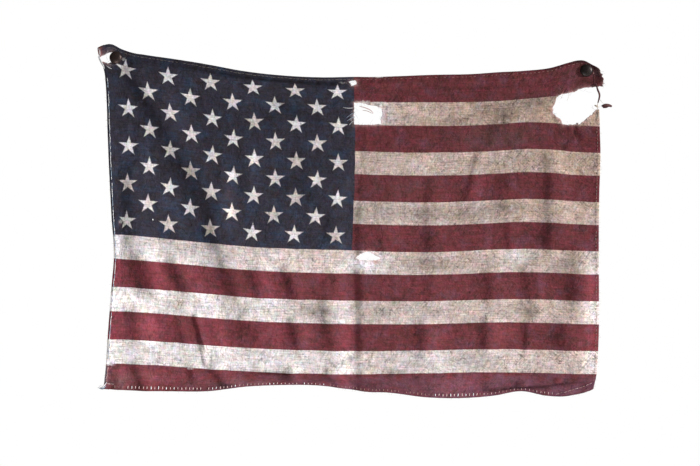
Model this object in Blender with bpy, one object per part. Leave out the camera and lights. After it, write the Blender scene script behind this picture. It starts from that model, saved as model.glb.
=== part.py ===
"""A tattered printed cotton flag, hung open on a wall from two domed tacks.

The cloth is cut flat, torn, and then hung: every point of the flat cloth is carried to its place by
hang(), which reads the tables of sections, side edges and folds. +X is right, +Z is up, and the wall
is the plane Y = 0 behind the cloth. The origin is on the wall, midway between the two tacks.
"""

import math

import bmesh
import bpy
import numpy as np

MM = 0.001

# The flat cloth, in millimetres: distances run along from its left edge and down from its top edge.
WIDTH = 457.0
TOP_STRIPE = 27.0
RED = 25.2
WHITE = 21.8
CANTON_FOOT = TOP_STRIPE + 3 * (RED + WHITE)
LAST_LINE = CANTON_FOOT + 3 * (RED + WHITE) - RED
HEIGHT = LAST_LINE + RED
THICKNESS = 1.0
COLUMNS = 64

# Where the cloth is cut into rows: close together at the hems, where it rolls and tucks.
ROW_STEPS = (
    0.0, 3.0, 6.5, 10.0, 14.0, 20.0, 27.0, 38.0, 48.8, 68.0, 88.0, 108.0, 128.0, 148.0, 168.0,
    188.0, 208.0, 226.0, 240.0, 254.0, 270.0, 279.0, 283.8, 289.5, 295.0, 301.0, 309.0,
)  # fmt: skip

# The lines of the print that the sections follow, as distances down the flat cloth.
SECTION_LINES = (0.0, TOP_STRIPE, TOP_STRIPE + WHITE, CANTON_FOOT, LAST_LINE, HEIGHT)

# Upright sections of the hung cloth. Heights are above the tacks' middle level.
SECTIONS = (
    # along, height of: top, 1st line, 2nd line, canton foot, last line, hem; out from wall: top, middle, hem
    (0.0, 15.2, -15.4, -38.4, -159.3, -279.6, -303.0, 2.0, 5.0, 8.5),
    (9.5, 18.6, -15.6, -38.5, -159.6, -279.8, -303.9, 1.2, 4.0, 7.5),
    (15.0, 13.3, -15.8, -38.7, -159.8, -279.9, -304.2, 1.2, 3.9, 7.2),
    (22.0, 9.6, -16.6, -39.3, -160.2, -280.1, -304.6, 1.5, 3.8, 7.0),
    (36.0, 7.8, -18.6, -40.8, -161.5, -280.7, -305.2, 2.2, 3.5, 6.5),
    (60.0, 4.9, -22.2, -43.8, -163.9, -282.2, -305.6, 3.0, 3.5, 6.0),
    (100.0, -2.0, -27.4, -48.9, -167.8, -285.2, -305.2, 4.0, 3.5, 6.5),
    (124.0, -6.6, -29.8, -51.0, -170.2, -286.6, -302.0, 4.3, 3.5, 5.5),
    (162.0, -11.1, -32.4, -53.4, -172.3, -288.6, -300.0, 4.5, 3.5, 4.5),
    (200.0, -13.2, -34.6, -55.2, -173.4, -289.6, -300.5, 4.5, 4.0, 4.5),
    (228.5, -12.7, -35.4, -56.6, -174.2, -290.1, -303.8, 4.0, 4.0, 5.0),
    (260.0, -11.9, -35.8, -57.6, -175.2, -289.4, -306.6, 4.0, 4.5, 6.5),
    (300.0, -10.6, -35.8, -58.0, -174.6, -288.6, -310.5, 4.0, 4.5, 7.5),
    (340.0, -10.0, -35.5, -57.4, -174.0, -287.8, -311.5, 3.5, 4.0, 7.0),
    (363.0, -7.8, -34.6, -56.4, -173.2, -287.9, -309.6, 3.2, 4.0, 5.5),
    (388.0, -6.4, -32.6, -54.6, -172.7, -288.4, -305.7, 3.0, 4.0, 4.0),
    (412.0, -3.6, -30.4, -55.2, -173.4, -288.8, -309.9, 2.5, 3.5, 5.5),
    (429.0, 1.3, -27.4, -57.0, -174.2, -289.2, -310.3, 2.0, 3.0, 6.0),
    (438.0, 3.5, -23.8, -57.6, -174.6, -289.4, -308.8, 1.2, 3.0, 6.0),
    (443.5, 2.6, -22.4, -57.9, -174.8, -289.5, -307.8, 1.2, 3.0, 5.8),
    (449.5, -1.9, -21.8, -58.2, -175.0, -289.6, -306.4, 1.5, 3.0, 5.5),
    (457.0, -6.5, -21.4, -58.5, -175.2, -289.7, -303.4, 3.0, 3.5, 5.0),
)

# How far the cloth is drawn to the right, at these distances along it.
DRAWN_ALONG = (0.0, 18.0, WIDTH / 2, 440.0, WIDTH)
DRAWN = (
    # down, shift at: left edge, first stars, middle, beside the right hem, right edge
    (0.0, 0.4, 0.4, 2.5, 3.0, 6.5),
    (20.0, 0.4, 0.6, 3.0, 3.5, 7.5),
    (27.0, 0.6, 1.0, 3.2, 3.5, 7.4),
    (34.0, 1.2, 1.6, 3.5, 3.5, 4.3),
    (49.5, 1.9, 2.6, 3.7, 3.8, 3.9),
    (73.0, 2.6, 2.9, 3.7, 4.0, 4.5),
    (110.0, 3.6, 2.4, 3.2, 3.5, 3.5),
    (150.0, 5.2, 1.2, 1.4, 2.9, 2.9),
    (190.0, 8.0, 2.0, 0.5, 2.5, 2.9),
    (212.0, 6.8, 2.4, 1.0, 2.5, 2.9),
    (235.0, 4.8, 2.0, 1.0, 2.5, 2.9),
    (262.0, 2.4, 1.0, 0.8, 1.6, 2.1),
    (284.5, 0.8, 0.0, 0.4, 0.6, 0.5),
    (309.0, -2.0, -1.5, 0.0, -0.6, -2.4),
)
CORNER_PULL = 8.9  # how far the top left corner is drawn out to the left, past its tack
CORNER_PULL_ALONG = 13.0
CORNER_PULL_DOWN = 16.0

# Soft ridges, or troughs where the height is negative, along straight lines on the flat cloth.
# A ridge's left flank, or lower flank where it lies level, is as wide as its rise.
FOLDS = (
    # from along, down, to along, down, rise, fall, height
    # drawn down from the left tack
    (17.0, 6.0, 60.0, 76.0, 8.5, 13.0, 2.4),
    (52.0, 60.0, 98.0, 134.0, 13.0, 13.0, 2.4),
    (96.0, 110.0, 106.0, 178.0, 10.0, 14.0, 2.3),
    (22.0, 96.0, 27.0, 176.0, 9.0, 15.0, 2.2),
    (150.0, 28.0, 206.0, 50.0, 6.0, 8.0, 1.2),
    # flutes in the lower left
    (22.0, 160.0, 43.0, 228.0, 10.0, 13.0, 2.6),
    (57.0, 182.0, 76.0, 219.0, 6.5, 10.0, 1.8),
    (104.0, 158.0, 124.0, 226.0, 8.5, 12.0, 2.4),
    (139.0, 182.0, 144.0, 220.0, 8.0, 8.0, 1.8),
    (166.0, 180.0, 180.0, 220.0, 7.0, 10.0, 2.2),
    (204.0, 206.0, 212.0, 266.0, 6.5, 12.0, 1.8),
    (26.0, 228.0, 33.0, 272.0, 8.0, 12.0, 1.9),
    (122.0, 230.0, 148.0, 255.0, 6.5, 8.0, 1.5),
    (172.0, 229.0, 182.0, 263.0, 6.5, 9.0, 2.0),
    (26.0, 278.0, 40.0, 317.0, 6.0, 9.0, 1.8),
    (96.0, 275.0, 124.0, 315.0, 6.0, 9.0, 1.8),
    (172.0, 276.0, 176.0, 306.0, 7.0, 7.0, 2.0),
    (204.0, 277.0, 222.0, 315.0, 6.0, 8.0, 1.8),
    # the slanting crease there
    (40.0, 218.0, 82.0, 236.0, 5.0, 7.0, 1.1),
    (77.5, 230.0, 92.0, 270.0, 5.0, 9.0, 1.8),
    # the old crease down the middle
    (231.0, 30.0, 231.0, 130.0, 10.0, 6.0, -0.8),
    (228.5, 118.0, 230.5, 180.0, 13.0, 6.0, -2.0),
    (230.0, 176.0, 231.0, 228.0, 14.0, 6.0, -2.4),
    (231.0, 222.0, 231.0, 273.0, 14.0, 6.0, -2.4),
    (231.0, 268.0, 231.5, 335.0, 13.0, 6.0, -2.0),
    # flutes in the right half
    (262.0, 92.0, 264.0, 176.0, 12.0, 14.0, 1.2),
    (301.0, 92.0, 302.0, 178.0, 6.0, 12.0, 1.5),
    (352.0, 66.0, 338.0, 126.0, 5.5, 8.0, 1.4),
    (374.0, 138.0, 377.0, 173.0, 6.0, 8.0, 1.3),
    (412.0, 66.0, 414.0, 182.0, 7.0, 12.0, 2.3),
    (302.0, 184.0, 303.0, 230.0, 6.0, 12.0, 1.3),
    (357.0, 182.0, 359.0, 224.0, 8.0, 12.0, 2.1),
    (389.0, 178.0, 399.0, 241.0, 6.0, 9.0, 2.1),
    (441.0, 176.0, 443.0, 224.0, 13.0, 9.0, 1.6),
    (296.0, 226.0, 297.0, 274.0, 7.0, 10.0, 1.9),
    (354.0, 227.0, 355.0, 272.0, 6.0, 10.0, 2.0),
    (427.0, 229.0, 428.0, 272.0, 9.0, 8.0, 2.0),
    (437.0, 146.0, 438.0, 304.0, 8.0, 12.0, 1.7),
    # level folds in the top stripe
    (230.0, 15.5, 352.0, 13.5, 5.0, 7.0, 1.4),
    (302.0, 4.0, 400.0, 12.0, 5.0, 6.0, 1.2),
    (336.0, 20.0, 430.0, 18.0, 5.0, 6.0, 1.0),
    # the top hem rolls forward between the tacks
    (52.0, 2.0, 226.0, 2.0, 5.0, 6.0, 1.8),
    (64.0, 9.5, 222.0, 9.5, 4.0, 5.0, -1.4),
    # a tuck over the bottom hem
    (112.0, 287.0, 264.0, 287.0, 5.0, 8.0, 1.4),
    (112.0, 298.0, 264.0, 298.0, 5.0, 5.0, -1.2),
    # the bottom right corner turns up
    (348.0, 303.5, 396.0, 301.5, 4.0, 7.0, 1.5),
    (380.0, 303.0, 428.0, 291.0, 4.0, 8.0, 1.9),
    (414.0, 293.5, 458.0, 292.5, 4.0, 8.0, 1.5),
)  # fmt: skip
FOLD_FADE = 0.16  # the share of a fold's length over which each of its ends dies away
LEAST_OUT = 1.0  # the cloth's middle comes no nearer the wall than this
SLOPE_STEP = 0.5  # the stretch over which the cloth's slope is read
FIND_ROUNDS = 60
FIND_STEP = 0.7
MERGE = 0.02

# Tears, as outlines on the hung cloth seen from the front: (right, up).
CORNER_TEAR = (
    (191.8, -31.5), (196.9, -28.2), (204.3, -26.8), (209.0, -26.5), (213.2, -23.7), (217.4, -22.4),
    (223.0, -22.0), (228.0, -22.2), (229.8, -26.8), (230.4, -29.6), (229.1, -36.2), (229.5, -41.8),
    (224.9, -47.3), (219.3, -51.5), (213.7, -56.0), (207.1, -56.7), (197.8, -56.3), (195.9, -52.0),
    (192.2, -49.2), (188.5, -46.4), (188.3, -40.8), (190.3, -37.1),
)  # fmt: skip
CORNER_NOTCH = (
    (230.4, -21.4), (232.0, -26.4), (232.6, -29.8), (231.5, -36.2), (231.9, -43.0), (234.0, -46.0),
    (242.0, -46.0), (242.0, -21.4),
)  # fmt: skip
CANTON_SIDE_TEAR = (
    (3.0, -36.4), (10.6, -36.6), (16.8, -38.6), (24.1, -39.6), (28.6, -42.0), (29.4, -47.4),
    (27.6, -52.0), (28.4, -56.4), (17.7, -57.0), (3.0, -56.6), (2.6, -45.0),
)  # fmt: skip
CREASE_TEAR = (
    (4.4, -182.3), (7.6, -178.4), (12.6, -175.6), (16.9, -175.0), (20.5, -177.6), (29.7, -182.1),
    (26.0, -184.3), (18.6, -184.9), (8.5, -184.5),
)  # fmt: skip
TOP_EDGE_TEAR = ((-1.8, -17.0), (1.1, -15.6), (4.8, -15.8), (4.6, -19.4), (0.4, -20.6))
TACK_SIDE_TEAR = (
    (-234.4, 7.4), (-228.6, 9.8), (-222.6, 11.8), (-221.6, 7.0), (-223.2, 2.0), (-227.4, 0.4),
    (-231.6, 3.0),
)  # fmt: skip
TEARS = {
    "corner_tear": CORNER_TEAR,
    "corner_notch": CORNER_NOTCH,
    "canton_side_tear": CANTON_SIDE_TEAR,
    "crease_tear": CREASE_TEAR,
    "top_edge_tear": TOP_EDGE_TEAR,
    "tack_side_tear": TACK_SIDE_TEAR,
}

# The two tacks. Each is one piece: a solid domed head on a pointed pin.
TACKS = {"tack_left": (-220.0, 6.0), "tack_right": (220.0, -6.0)}
TACK_GAP = 0.3
HEAD_RADIUS = 5.8
HEAD_HEIGHT = 3.3
RIM_HEIGHT = 0.6
PIN_RADIUS = 0.6
PIN_POINT = 2.0
PIN_IN_WALL = 9.0
PIN_HOLE_RADIUS = 1.0
PIN_HOLE_SIDES = 10
TACK_SIDES = 36
DOME_STEPS = 7
PRESSED_RADIUS = 9.5  # round each tack the cloth lies flat out to here
PRESSED_FADE = 12.0

RED_INK = (0.13, 0.022, 0.03, 1.0)
TACK_BRONZE = (0.06, 0.035, 0.025, 1.0)


def clear_scene():
    for thing in list(bpy.data.objects):
        bpy.data.objects.remove(thing)


def material(name, colour, roughness, metallic):
    made = bpy.data.materials.new(name)
    made.use_nodes = True
    shader = made.node_tree.nodes["Principled BSDF"]
    shader.inputs["Base Color"].default_value = colour
    shader.inputs["Roughness"].default_value = roughness
    shader.inputs["Metallic"].default_value = metallic
    made.diffuse_color = colour
    return made


def add_object(name, mesh, finish):
    made = bpy.data.objects.new(name, mesh)
    made.data.materials.append(finish)
    bpy.context.scene.collection.objects.link(made)
    return made


def smooth_step(share):
    share = np.clip(share, 0.0, 1.0)
    return share * share * (3.0 - 2.0 * share)


def through(at, knots, values, level=False):
    """A smooth curve through values at knots, which runs level at each knot if it is told to.

    A value may be one number, or one for each point.
    """
    knots = np.asarray(knots, float)
    values = np.asarray(values, float)
    if values.ndim == 1:
        values = np.repeat(values[:, None], len(at), axis=1)
    slopes = np.gradient(values, knots, axis=0) * (not level)
    at = np.clip(at, knots[0], knots[-1])
    left = np.clip(np.searchsorted(knots, at, side="right") - 1, 0, len(knots) - 2)
    point = np.arange(len(at))
    span = knots[left + 1] - knots[left]
    t = (at - knots[left]) / span
    low, high = values[left, point], values[left + 1, point]
    low_slope, high_slope = slopes[left, point] * span, slopes[left + 1, point] * span
    bend = 2.0 * (low - high) + low_slope + high_slope
    lean = 3.0 * (high - low) - 2.0 * low_slope - high_slope
    return ((bend * t + lean) * t + low_slope) * t + low


def fold_height(along, down, fold):
    from_along, from_down, to_along, to_down, rise, fall, height = fold
    run, drop = to_along - from_along, to_down - from_down
    length = math.hypot(run, drop)
    share = ((along - from_along) * run + (down - from_down) * drop) / length**2
    off = ((along - from_along) * drop - (down - from_down) * run) / length
    width = np.where(off < 0.0, rise, fall)
    ends = smooth_step(share / FOLD_FADE) * smooth_step((1.0 - share) / FOLD_FADE)
    return height * ends * np.exp(-((off / width) ** 2))


def front_view(along, down):
    """(right, up) of points of the flat cloth once it hangs."""
    sections, drawn = np.array(SECTIONS), np.array(DRAWN)
    shifts = [through(down, drawn[:, 0], shift) for shift in drawn[:, 1:].T]
    pull = np.exp(-((along / CORNER_PULL_ALONG) ** 2) - (down / CORNER_PULL_DOWN) ** 2)
    right = along - WIDTH / 2 + through(along, DRAWN_ALONG, shifts, level=True)
    lines = np.array([through(along, sections[:, 0], sections[:, 1 + n]) for n in range(6)])
    on_cloth = np.clip(down, 0.0, HEIGHT)
    above = np.clip(np.searchsorted(SECTION_LINES, on_cloth, side="right") - 1, 0, 4)
    starts, spans = np.array(SECTION_LINES), np.diff(SECTION_LINES)
    share = (on_cloth - starts[above]) / spans[above]
    point = np.arange(len(along))
    up = lines[above, point] * (1.0 - share) + lines[above + 1, point] * share
    return right - CORNER_PULL * pull, up + on_cloth - down


def out_from_wall(along, down):
    """How far the middle of the hung cloth is from the wall."""
    sections = np.array(SECTIONS)
    levels = [through(along, sections[:, 0], sections[:, 7 + n]) for n in range(3)]
    out = through(down, (0.0, CANTON_FOOT, HEIGHT), np.array(levels))
    for fold in FOLDS:
        out = out + fold_height(along, down, fold)
    out = np.maximum(out, LEAST_OUT)
    right, up = front_view(along, down)
    for tack_right, tack_up in TACKS.values():
        away = np.hypot(right - tack_right, up - tack_up)
        loose = smooth_step((away - PRESSED_RADIUS) / PRESSED_FADE)
        out = LEAST_OUT + (out - LEAST_OUT) * loose
    return out


def middle(along, down):
    right, up = front_view(along, down)
    return np.stack([right, -out_from_wall(along, down), up], axis=1)


def hang(along, down, above):
    """Places of points that lie above the flat cloth's middle by so much, towards its printed face."""
    here = middle(along, down)
    across = middle(along + SLOPE_STEP, down) - middle(along - SLOPE_STEP, down)
    upward = middle(along, down - SLOPE_STEP) - middle(along, down + SLOPE_STEP)
    normal = np.cross(across, upward)
    normal /= np.linalg.norm(normal, axis=1)[:, None]
    return here + normal * above[:, None]


def on_flat(right, up):
    """The (along, down) of a point of the hung cloth seen from the front, found step by step."""
    along, down = np.array([right + WIDTH / 2]), np.array([-up])
    for _ in range(FIND_ROUNDS):
        right_now, up_now = front_view(along, down)
        along = along + FIND_STEP * (right - right_now)
        down = down + FIND_STEP * (up_now - up)
    return float(along[0]), float(down[0])


def flat_cutter(name, outline):
    """An upright prism through the flat cloth, on an outline given as (along, down) points."""
    shape = bmesh.new()
    reach = 2.0 * THICKNESS
    corners = [shape.verts.new((along, -down, -reach)) for along, down in outline]
    base = shape.faces.new(corners)
    grown = bmesh.ops.extrude_face_region(shape, geom=[base])
    top = [item for item in grown["geom"] if isinstance(item, bmesh.types.BMVert)]
    bmesh.ops.translate(shape, verts=top, vec=(0.0, 0.0, 2.0 * reach))
    bmesh.ops.recalc_face_normals(shape, faces=shape.faces)
    mesh = bpy.data.meshes.new(name)
    shape.to_mesh(mesh)
    shape.free()
    made = bpy.data.objects.new(name, mesh)
    made.hide_render = True
    made.display_type = "WIRE"
    bpy.context.scene.collection.objects.link(made)
    return made


def pin_hole(right, up):
    turns = [2.0 * math.pi * (n + 0.5) / PIN_HOLE_SIDES for n in range(PIN_HOLE_SIDES)]
    return [
        (right + PIN_HOLE_RADIUS * math.cos(turn), up + PIN_HOLE_RADIUS * math.sin(turn))
        for turn in turns
    ]


def flat_cutters():
    outlines = dict(TEARS)
    for name, place in TACKS.items():
        outlines[name + "_hole"] = pin_hole(*place)
    return [
        flat_cutter(name, [on_flat(*point) for point in outline])
        for name, outline in outlines.items()
    ]


def flat_slab():
    """The flat cloth as a thin slab, with its front face up, its top edge on Y = 0."""
    slab = bmesh.new()
    rows = len(ROW_STEPS) - 1
    bmesh.ops.create_grid(slab, x_segments=COLUMNS, y_segments=rows, size=1.0)
    for corner in slab.verts:
        row = (1.0 - corner.co.y) / 2.0 * rows
        corner.co.x = (corner.co.x + 1.0) / 2.0 * WIDTH
        corner.co.y = -float(np.interp(row, range(rows + 1), ROW_STEPS))
        corner.co.z = -THICKNESS / 2
    bmesh.ops.recalc_face_normals(slab, faces=slab.faces)
    bmesh.ops.solidify(slab, geom=slab.faces[:], thickness=THICKNESS)
    low = min(corner.co.z for corner in slab.verts)
    bmesh.ops.translate(slab, verts=slab.verts, vec=(0.0, 0.0, -THICKNESS / 2 - low))
    bmesh.ops.recalc_face_normals(slab, faces=slab.faces)
    mesh = bpy.data.meshes.new("flag_cloth_flat")
    slab.to_mesh(mesh)
    slab.free()
    return mesh


def torn_flat(slab, cutters):
    """The flat slab with every tear and pin hole cut out of it, as triangles."""
    blank = bpy.data.objects.new("flag_cloth_blank", slab)
    bpy.context.scene.collection.objects.link(blank)
    for cutter in cutters:
        cut = blank.modifiers.new(cutter.name, "BOOLEAN")
        cut.operation = "DIFFERENCE"
        cut.solver = "EXACT"
        cut.object = cutter
    graph = bpy.context.evaluated_depsgraph_get()
    torn = bpy.data.meshes.new_from_object(blank.evaluated_get(graph))
    bpy.data.objects.remove(blank)
    for cutter in cutters:
        bpy.data.objects.remove(cutter)
    shape = bmesh.new()
    shape.from_mesh(torn)
    bmesh.ops.remove_doubles(shape, verts=shape.verts, dist=MERGE)
    bmesh.ops.triangulate(shape, faces=shape.faces)
    shape.to_mesh(torn)
    shape.free()
    return torn


def flag_cloth():
    mesh = torn_flat(flat_slab(), flat_cutters())
    flat = np.empty(len(mesh.vertices) * 3)
    mesh.vertices.foreach_get("co", flat)
    flat = flat.reshape(-1, 3)
    hung = hang(flat[:, 0], -flat[:, 1], flat[:, 2]) * MM
    mesh.vertices.foreach_set("co", hung.ravel())
    mesh.update()
    mesh.name = "flag_cloth"
    return add_object("flag_cloth", mesh, material("printed_cotton", RED_INK, 0.9, 0.0))


def tack_profile():
    """Half of the tack's outline as (radius, out from the wall), from the dome's crown to the point."""
    seat = LEAST_OUT + THICKNESS / 2 + TACK_GAP
    dome = HEAD_HEIGHT - RIM_HEIGHT
    profile = []
    for n in range(DOME_STEPS):
        turn = math.pi / 2 * n / DOME_STEPS
        profile.append((HEAD_RADIUS * math.sin(turn), seat + RIM_HEIGHT + dome * math.cos(turn)))
    profile.append((HEAD_RADIUS, seat + RIM_HEIGHT))
    profile.append((HEAD_RADIUS, seat))
    profile.append((PIN_RADIUS, seat))
    profile.append((PIN_RADIUS, PIN_POINT - PIN_IN_WALL))
    profile.append((0.0, -PIN_IN_WALL))
    return profile


def tack(name, right, up, finish):
    shape = bmesh.new()
    ends = [shape.verts.new((radius * MM, -out * MM, 0.0)) for radius, out in tack_profile()]
    line = [shape.edges.new(pair) for pair in zip(ends, ends[1:])]
    bmesh.ops.spin(
        shape,
        geom=ends + line,
        cent=(0.0, 0.0, 0.0),
        axis=(0.0, 1.0, 0.0),
        angle=2.0 * math.pi,
        steps=TACK_SIDES,
        use_merge=True,
    )
    bmesh.ops.remove_doubles(shape, verts=shape.verts, dist=MERGE * MM)
    bmesh.ops.recalc_face_normals(shape, faces=shape.faces)
    mesh = bpy.data.meshes.new(name)
    shape.to_mesh(mesh)
    shape.free()
    mesh.shade_smooth()
    mesh.set_sharp_from_angle(angle=math.radians(40))
    made = add_object(name, mesh, finish)
    made.location = (right * MM, 0.0, up * MM)
    return made


def main():
    clear_scene()
    flag_cloth()
    bronze = material("dark_bronze", TACK_BRONZE, 0.4, 0.8)
    for name, (right, up) in TACKS.items():
        tack(name, right, up, bronze)


main()
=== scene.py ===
import math
import random

import bmesh
import bpy
import numpy as np
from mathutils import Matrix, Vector, noise


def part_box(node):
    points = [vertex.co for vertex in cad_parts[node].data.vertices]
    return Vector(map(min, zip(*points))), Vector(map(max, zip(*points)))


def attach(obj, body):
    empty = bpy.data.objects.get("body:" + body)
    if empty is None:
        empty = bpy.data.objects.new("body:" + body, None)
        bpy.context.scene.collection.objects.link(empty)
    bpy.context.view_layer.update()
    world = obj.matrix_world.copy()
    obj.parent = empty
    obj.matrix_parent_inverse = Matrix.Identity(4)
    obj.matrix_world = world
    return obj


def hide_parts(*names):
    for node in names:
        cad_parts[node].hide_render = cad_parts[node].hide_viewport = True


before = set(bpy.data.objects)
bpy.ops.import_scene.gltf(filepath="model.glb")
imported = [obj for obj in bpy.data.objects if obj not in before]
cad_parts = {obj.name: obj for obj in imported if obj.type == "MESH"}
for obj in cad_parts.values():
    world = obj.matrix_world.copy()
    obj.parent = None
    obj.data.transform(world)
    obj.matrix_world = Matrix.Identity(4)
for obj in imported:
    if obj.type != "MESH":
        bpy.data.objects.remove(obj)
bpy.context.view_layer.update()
mm = 0.001


class Wire:
    # A node socket that Python can reckon with. Each sum adds its Math node.
    def __init__(self, tree, socket=None):
        self.tree, self.socket = tree, socket

    def node(self, kind, settings=None, inputs=None, out=0):
        made = self.tree.nodes.new("ShaderNode" + kind)
        for name, value in (settings or {}).items():
            setattr(made, name, value)
        pairs = inputs.items() if isinstance(inputs, dict) else enumerate(inputs or ())
        for key, value in pairs:
            if isinstance(value, Wire):
                self.tree.links.new(value.socket, made.inputs[key])
            else:
                made.inputs[key].default_value = value
        return Wire(self.tree, made.outputs[out])

    def other(self, out):
        # another output of the same node
        return Wire(self.tree, self.socket.node.outputs[out])

    def math(self, operation, *others):
        return self.node("Math", {"operation": operation}, [self, *others])

    def __add__(self, other):
        return self.math("ADD", other)

    def __sub__(self, other):
        return self.math("SUBTRACT", other)

    def __mul__(self, other):
        return self.math("MULTIPLY", other)

    def __truediv__(self, other):
        return self.math("DIVIDE", other)

    def __rsub__(self, other):
        return self.node("Math", {"operation": "SUBTRACT"}, [other, self])

    __radd__ = __add__
    __rmul__ = __mul__

    def clamp(self, low=0.0, high=1.0):
        return self.node("Clamp", None, [self, low, high])

    def mixTo(self, other, share, blend="MIX"):
        # a colour turned towards another one
        settings = {"data_type": "RGBA", "blend_type": blend}
        return self.node("Mix", settings, {0: share, 6: self, 7: other}, 2)

    def colour(self, value):
        return self.node("Mix", {"data_type": "RGBA"}, {0: 0.0, 6: value, 7: value}, 2)

    def noise(self, vector, scale, detail=2.0, roughness=0.5):
        inputs = {"Vector": vector, "Scale": scale, "Detail": detail, "Roughness": roughness}
        return self.node("TexNoise", None, inputs)


def startMaterial(name):
    made = bpy.data.materials.new(name)
    made.use_nodes = True
    tree = made.node_tree
    return made, Wire(tree), tree.nodes["Principled BSDF"]


def join(wire, shader, socket):
    wire.tree.links.new(wire.socket, shader.inputs[socket])


def toMesh(shape, name):
    mesh = bpy.data.meshes.new(name)
    shape.to_mesh(mesh)
    shape.free()
    return mesh


def addToScene(name, data):
    made = bpy.data.objects.new(name, data)
    bpy.context.scene.collection.objects.link(made)
    return made


# Distances are in millimetres: along from the flat cloth's left edge, down from its top edge.
flag = {
    "width": 457.0,
    "height": 309.0,
    "topStripe": 27.0,
    "red": 25.2,
    "white": 21.8,
    "inkFrom": 5.0,  # the outer stripes' ink runs on past these lines
    "inkTo": 305.0,
    "thickness": 0.3,
    "cell": 1.95,
    "hemTurn": 5.0,  # turned to the back on all four sides
    "hemRoll": 0.3,
    "leastOut": 1.0,  # from the wall
    "cornerPull": 8.9,
    "cornerPullAlong": 13.0,
    "cornerPullDown": 16.0,
    "pressedRadius": 6.5,
    "pressedFade": 12.0,
    "foldFade": 0.2,
    "crumple": 0.55,
    "crumpleSize": 24.0,
    "fineCrumple": 0.16,
    "fineCrumpleSize": 7.0,
    "sharpFlank": 2.1,
    "sharpReach": 4.5,
    "pucker": 0.22,
    "puckerLength": 8.5,
    "puckerFrom": 3.0,
    "puckerReach": 4.0,
}
stripePair = flag["red"] + flag["white"]
cantonFoot = flag["topStripe"] + 3 * stripePair
lastLine = cantonFoot + 3 * stripePair - flag["red"]
firstLines = (0.0, flag["topStripe"], flag["topStripe"] + flag["white"])
sectionLines = np.array((*firstLines, cantonFoot, lastLine, flag["height"]))

sections = np.array((
    # along, then the height of the top, first line, second line, canton foot, last line and hem, and how
    # far the top, middle and hem stand out from the wall
    (0, 15.2, -15.4, -38.4, -159.3, -279.6, -303, 2, 5, 8.5),
    (9.5, 18.6, -15.6, -38.5, -159.6, -279.8, -303.9, 1.2, 4, 7.5),
    (15, 14.4, -15.8, -38.7, -159.8, -279.9, -304.2, 1.2, 3.9, 7.2),
    (22, 11.2, -16.6, -39.3, -160.2, -280.1, -304.6, 1.5, 3.8, 7),
    (36, 8.5, -18.6, -40.8, -161.5, -280.7, -305.2, 2.2, 3.5, 6.5),
    (60, 4.9, -22.2, -43.8, -163.9, -282.2, -305.6, 3, 3.5, 6),
    (100, -2, -27.4, -48.9, -167.8, -285.2, -305.2, 4, 3.5, 6.5),
    (124, -6.6, -29.8, -51, -170.2, -286.6, -302, 4.3, 3.5, 5.5),
    (162, -11.1, -32.4, -53.4, -172.3, -288.6, -300, 4.5, 3.5, 4.5),
    (200, -12.9, -34.6, -55.2, -173.4, -289.6, -300.5, 4.5, 4, 4.5),
    (228.5, -12.2, -35.4, -56.6, -174.2, -290.1, -304.2, 4, 4, 5),
    (244, -12.3, -35.6, -57.1, -174.7, -289.8, -306.3, 4, 4.2, 5.7),
    (260, -11.9, -35.8, -57.6, -175.2, -289.4, -306.6, 4, 4.5, 6.5),
    (300, -10.4, -35.8, -58, -175.8, -288.6, -311.2, 4, 4.5, 7.5),
    (340, -9.5, -35.5, -57.4, -174.4, -287.8, -311.5, 3.5, 4, 7),
    (363, -7.8, -34.6, -56.4, -173.2, -287.9, -309.6, 3.2, 4, 5.5),
    (388, -6.4, -32.6, -54.6, -172.7, -288.4, -305.7, 3, 4, 4),
    (412, -3.6, -30.4, -55.2, -173.4, -288.8, -309.9, 2.5, 3.5, 5.5),
    (429, 1.3, -27.4, -57, -174.2, -289.2, -310.3, 2, 3, 6),
    (438, 3.5, -23.8, -57.6, -174.6, -289.4, -308.8, 1.2, 3, 6),
    (443.5, 3.2, -22.4, -57.9, -174.8, -289.5, -307.8, 1.2, 3, 5.8),
    (449.5, -0.8, -21.8, -58.2, -175, -289.6, -306.4, 1.5, 3, 5.5),
    (457, -5.2, -21.4, -58.5, -175.2, -289.7, -303.4, 3, 3.5, 5),
))

drawnAlong = (0.0, 18.0, flag["width"] / 2, 440.0, flag["width"])
drawn = np.array((
    # down, then the shift to the right at each place of drawnAlong
    (0, 0.4, 0.4, 2.5, 3, 6.5),
    (20, -0.2, 0.6, 3, 3.5, 7.5),
    (27, -0.6, 1, 3.2, 3.5, 7.4),
    (34, -0.4, 1.6, 3.5, 3.5, 4.3),
    (49.5, 0.3, 2.6, 3.7, 3.8, 3.9),
    (73, 1, 2.9, 3.7, 4, 4.5),
    (110, 2.6, 2.4, 3.2, 3.5, 3.5),
    (150, 4.8, 1.2, 1.4, 2.9, 2.9),
    (190, 7.2, 2, 0.5, 2.5, 2.9),
    (212, 5.4, 2.4, 1, 2.5, 2.9),
    (235, 3.6, 2, 1, 2.5, 2.9),
    (262, 1.6, 1, 0.8, 1.6, 2.1),
    (284.5, 0.3, 0, 0.4, 0.6, 0.5),
    (309, -2, -1.5, 0, -0.6, -2.4),
))

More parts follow.
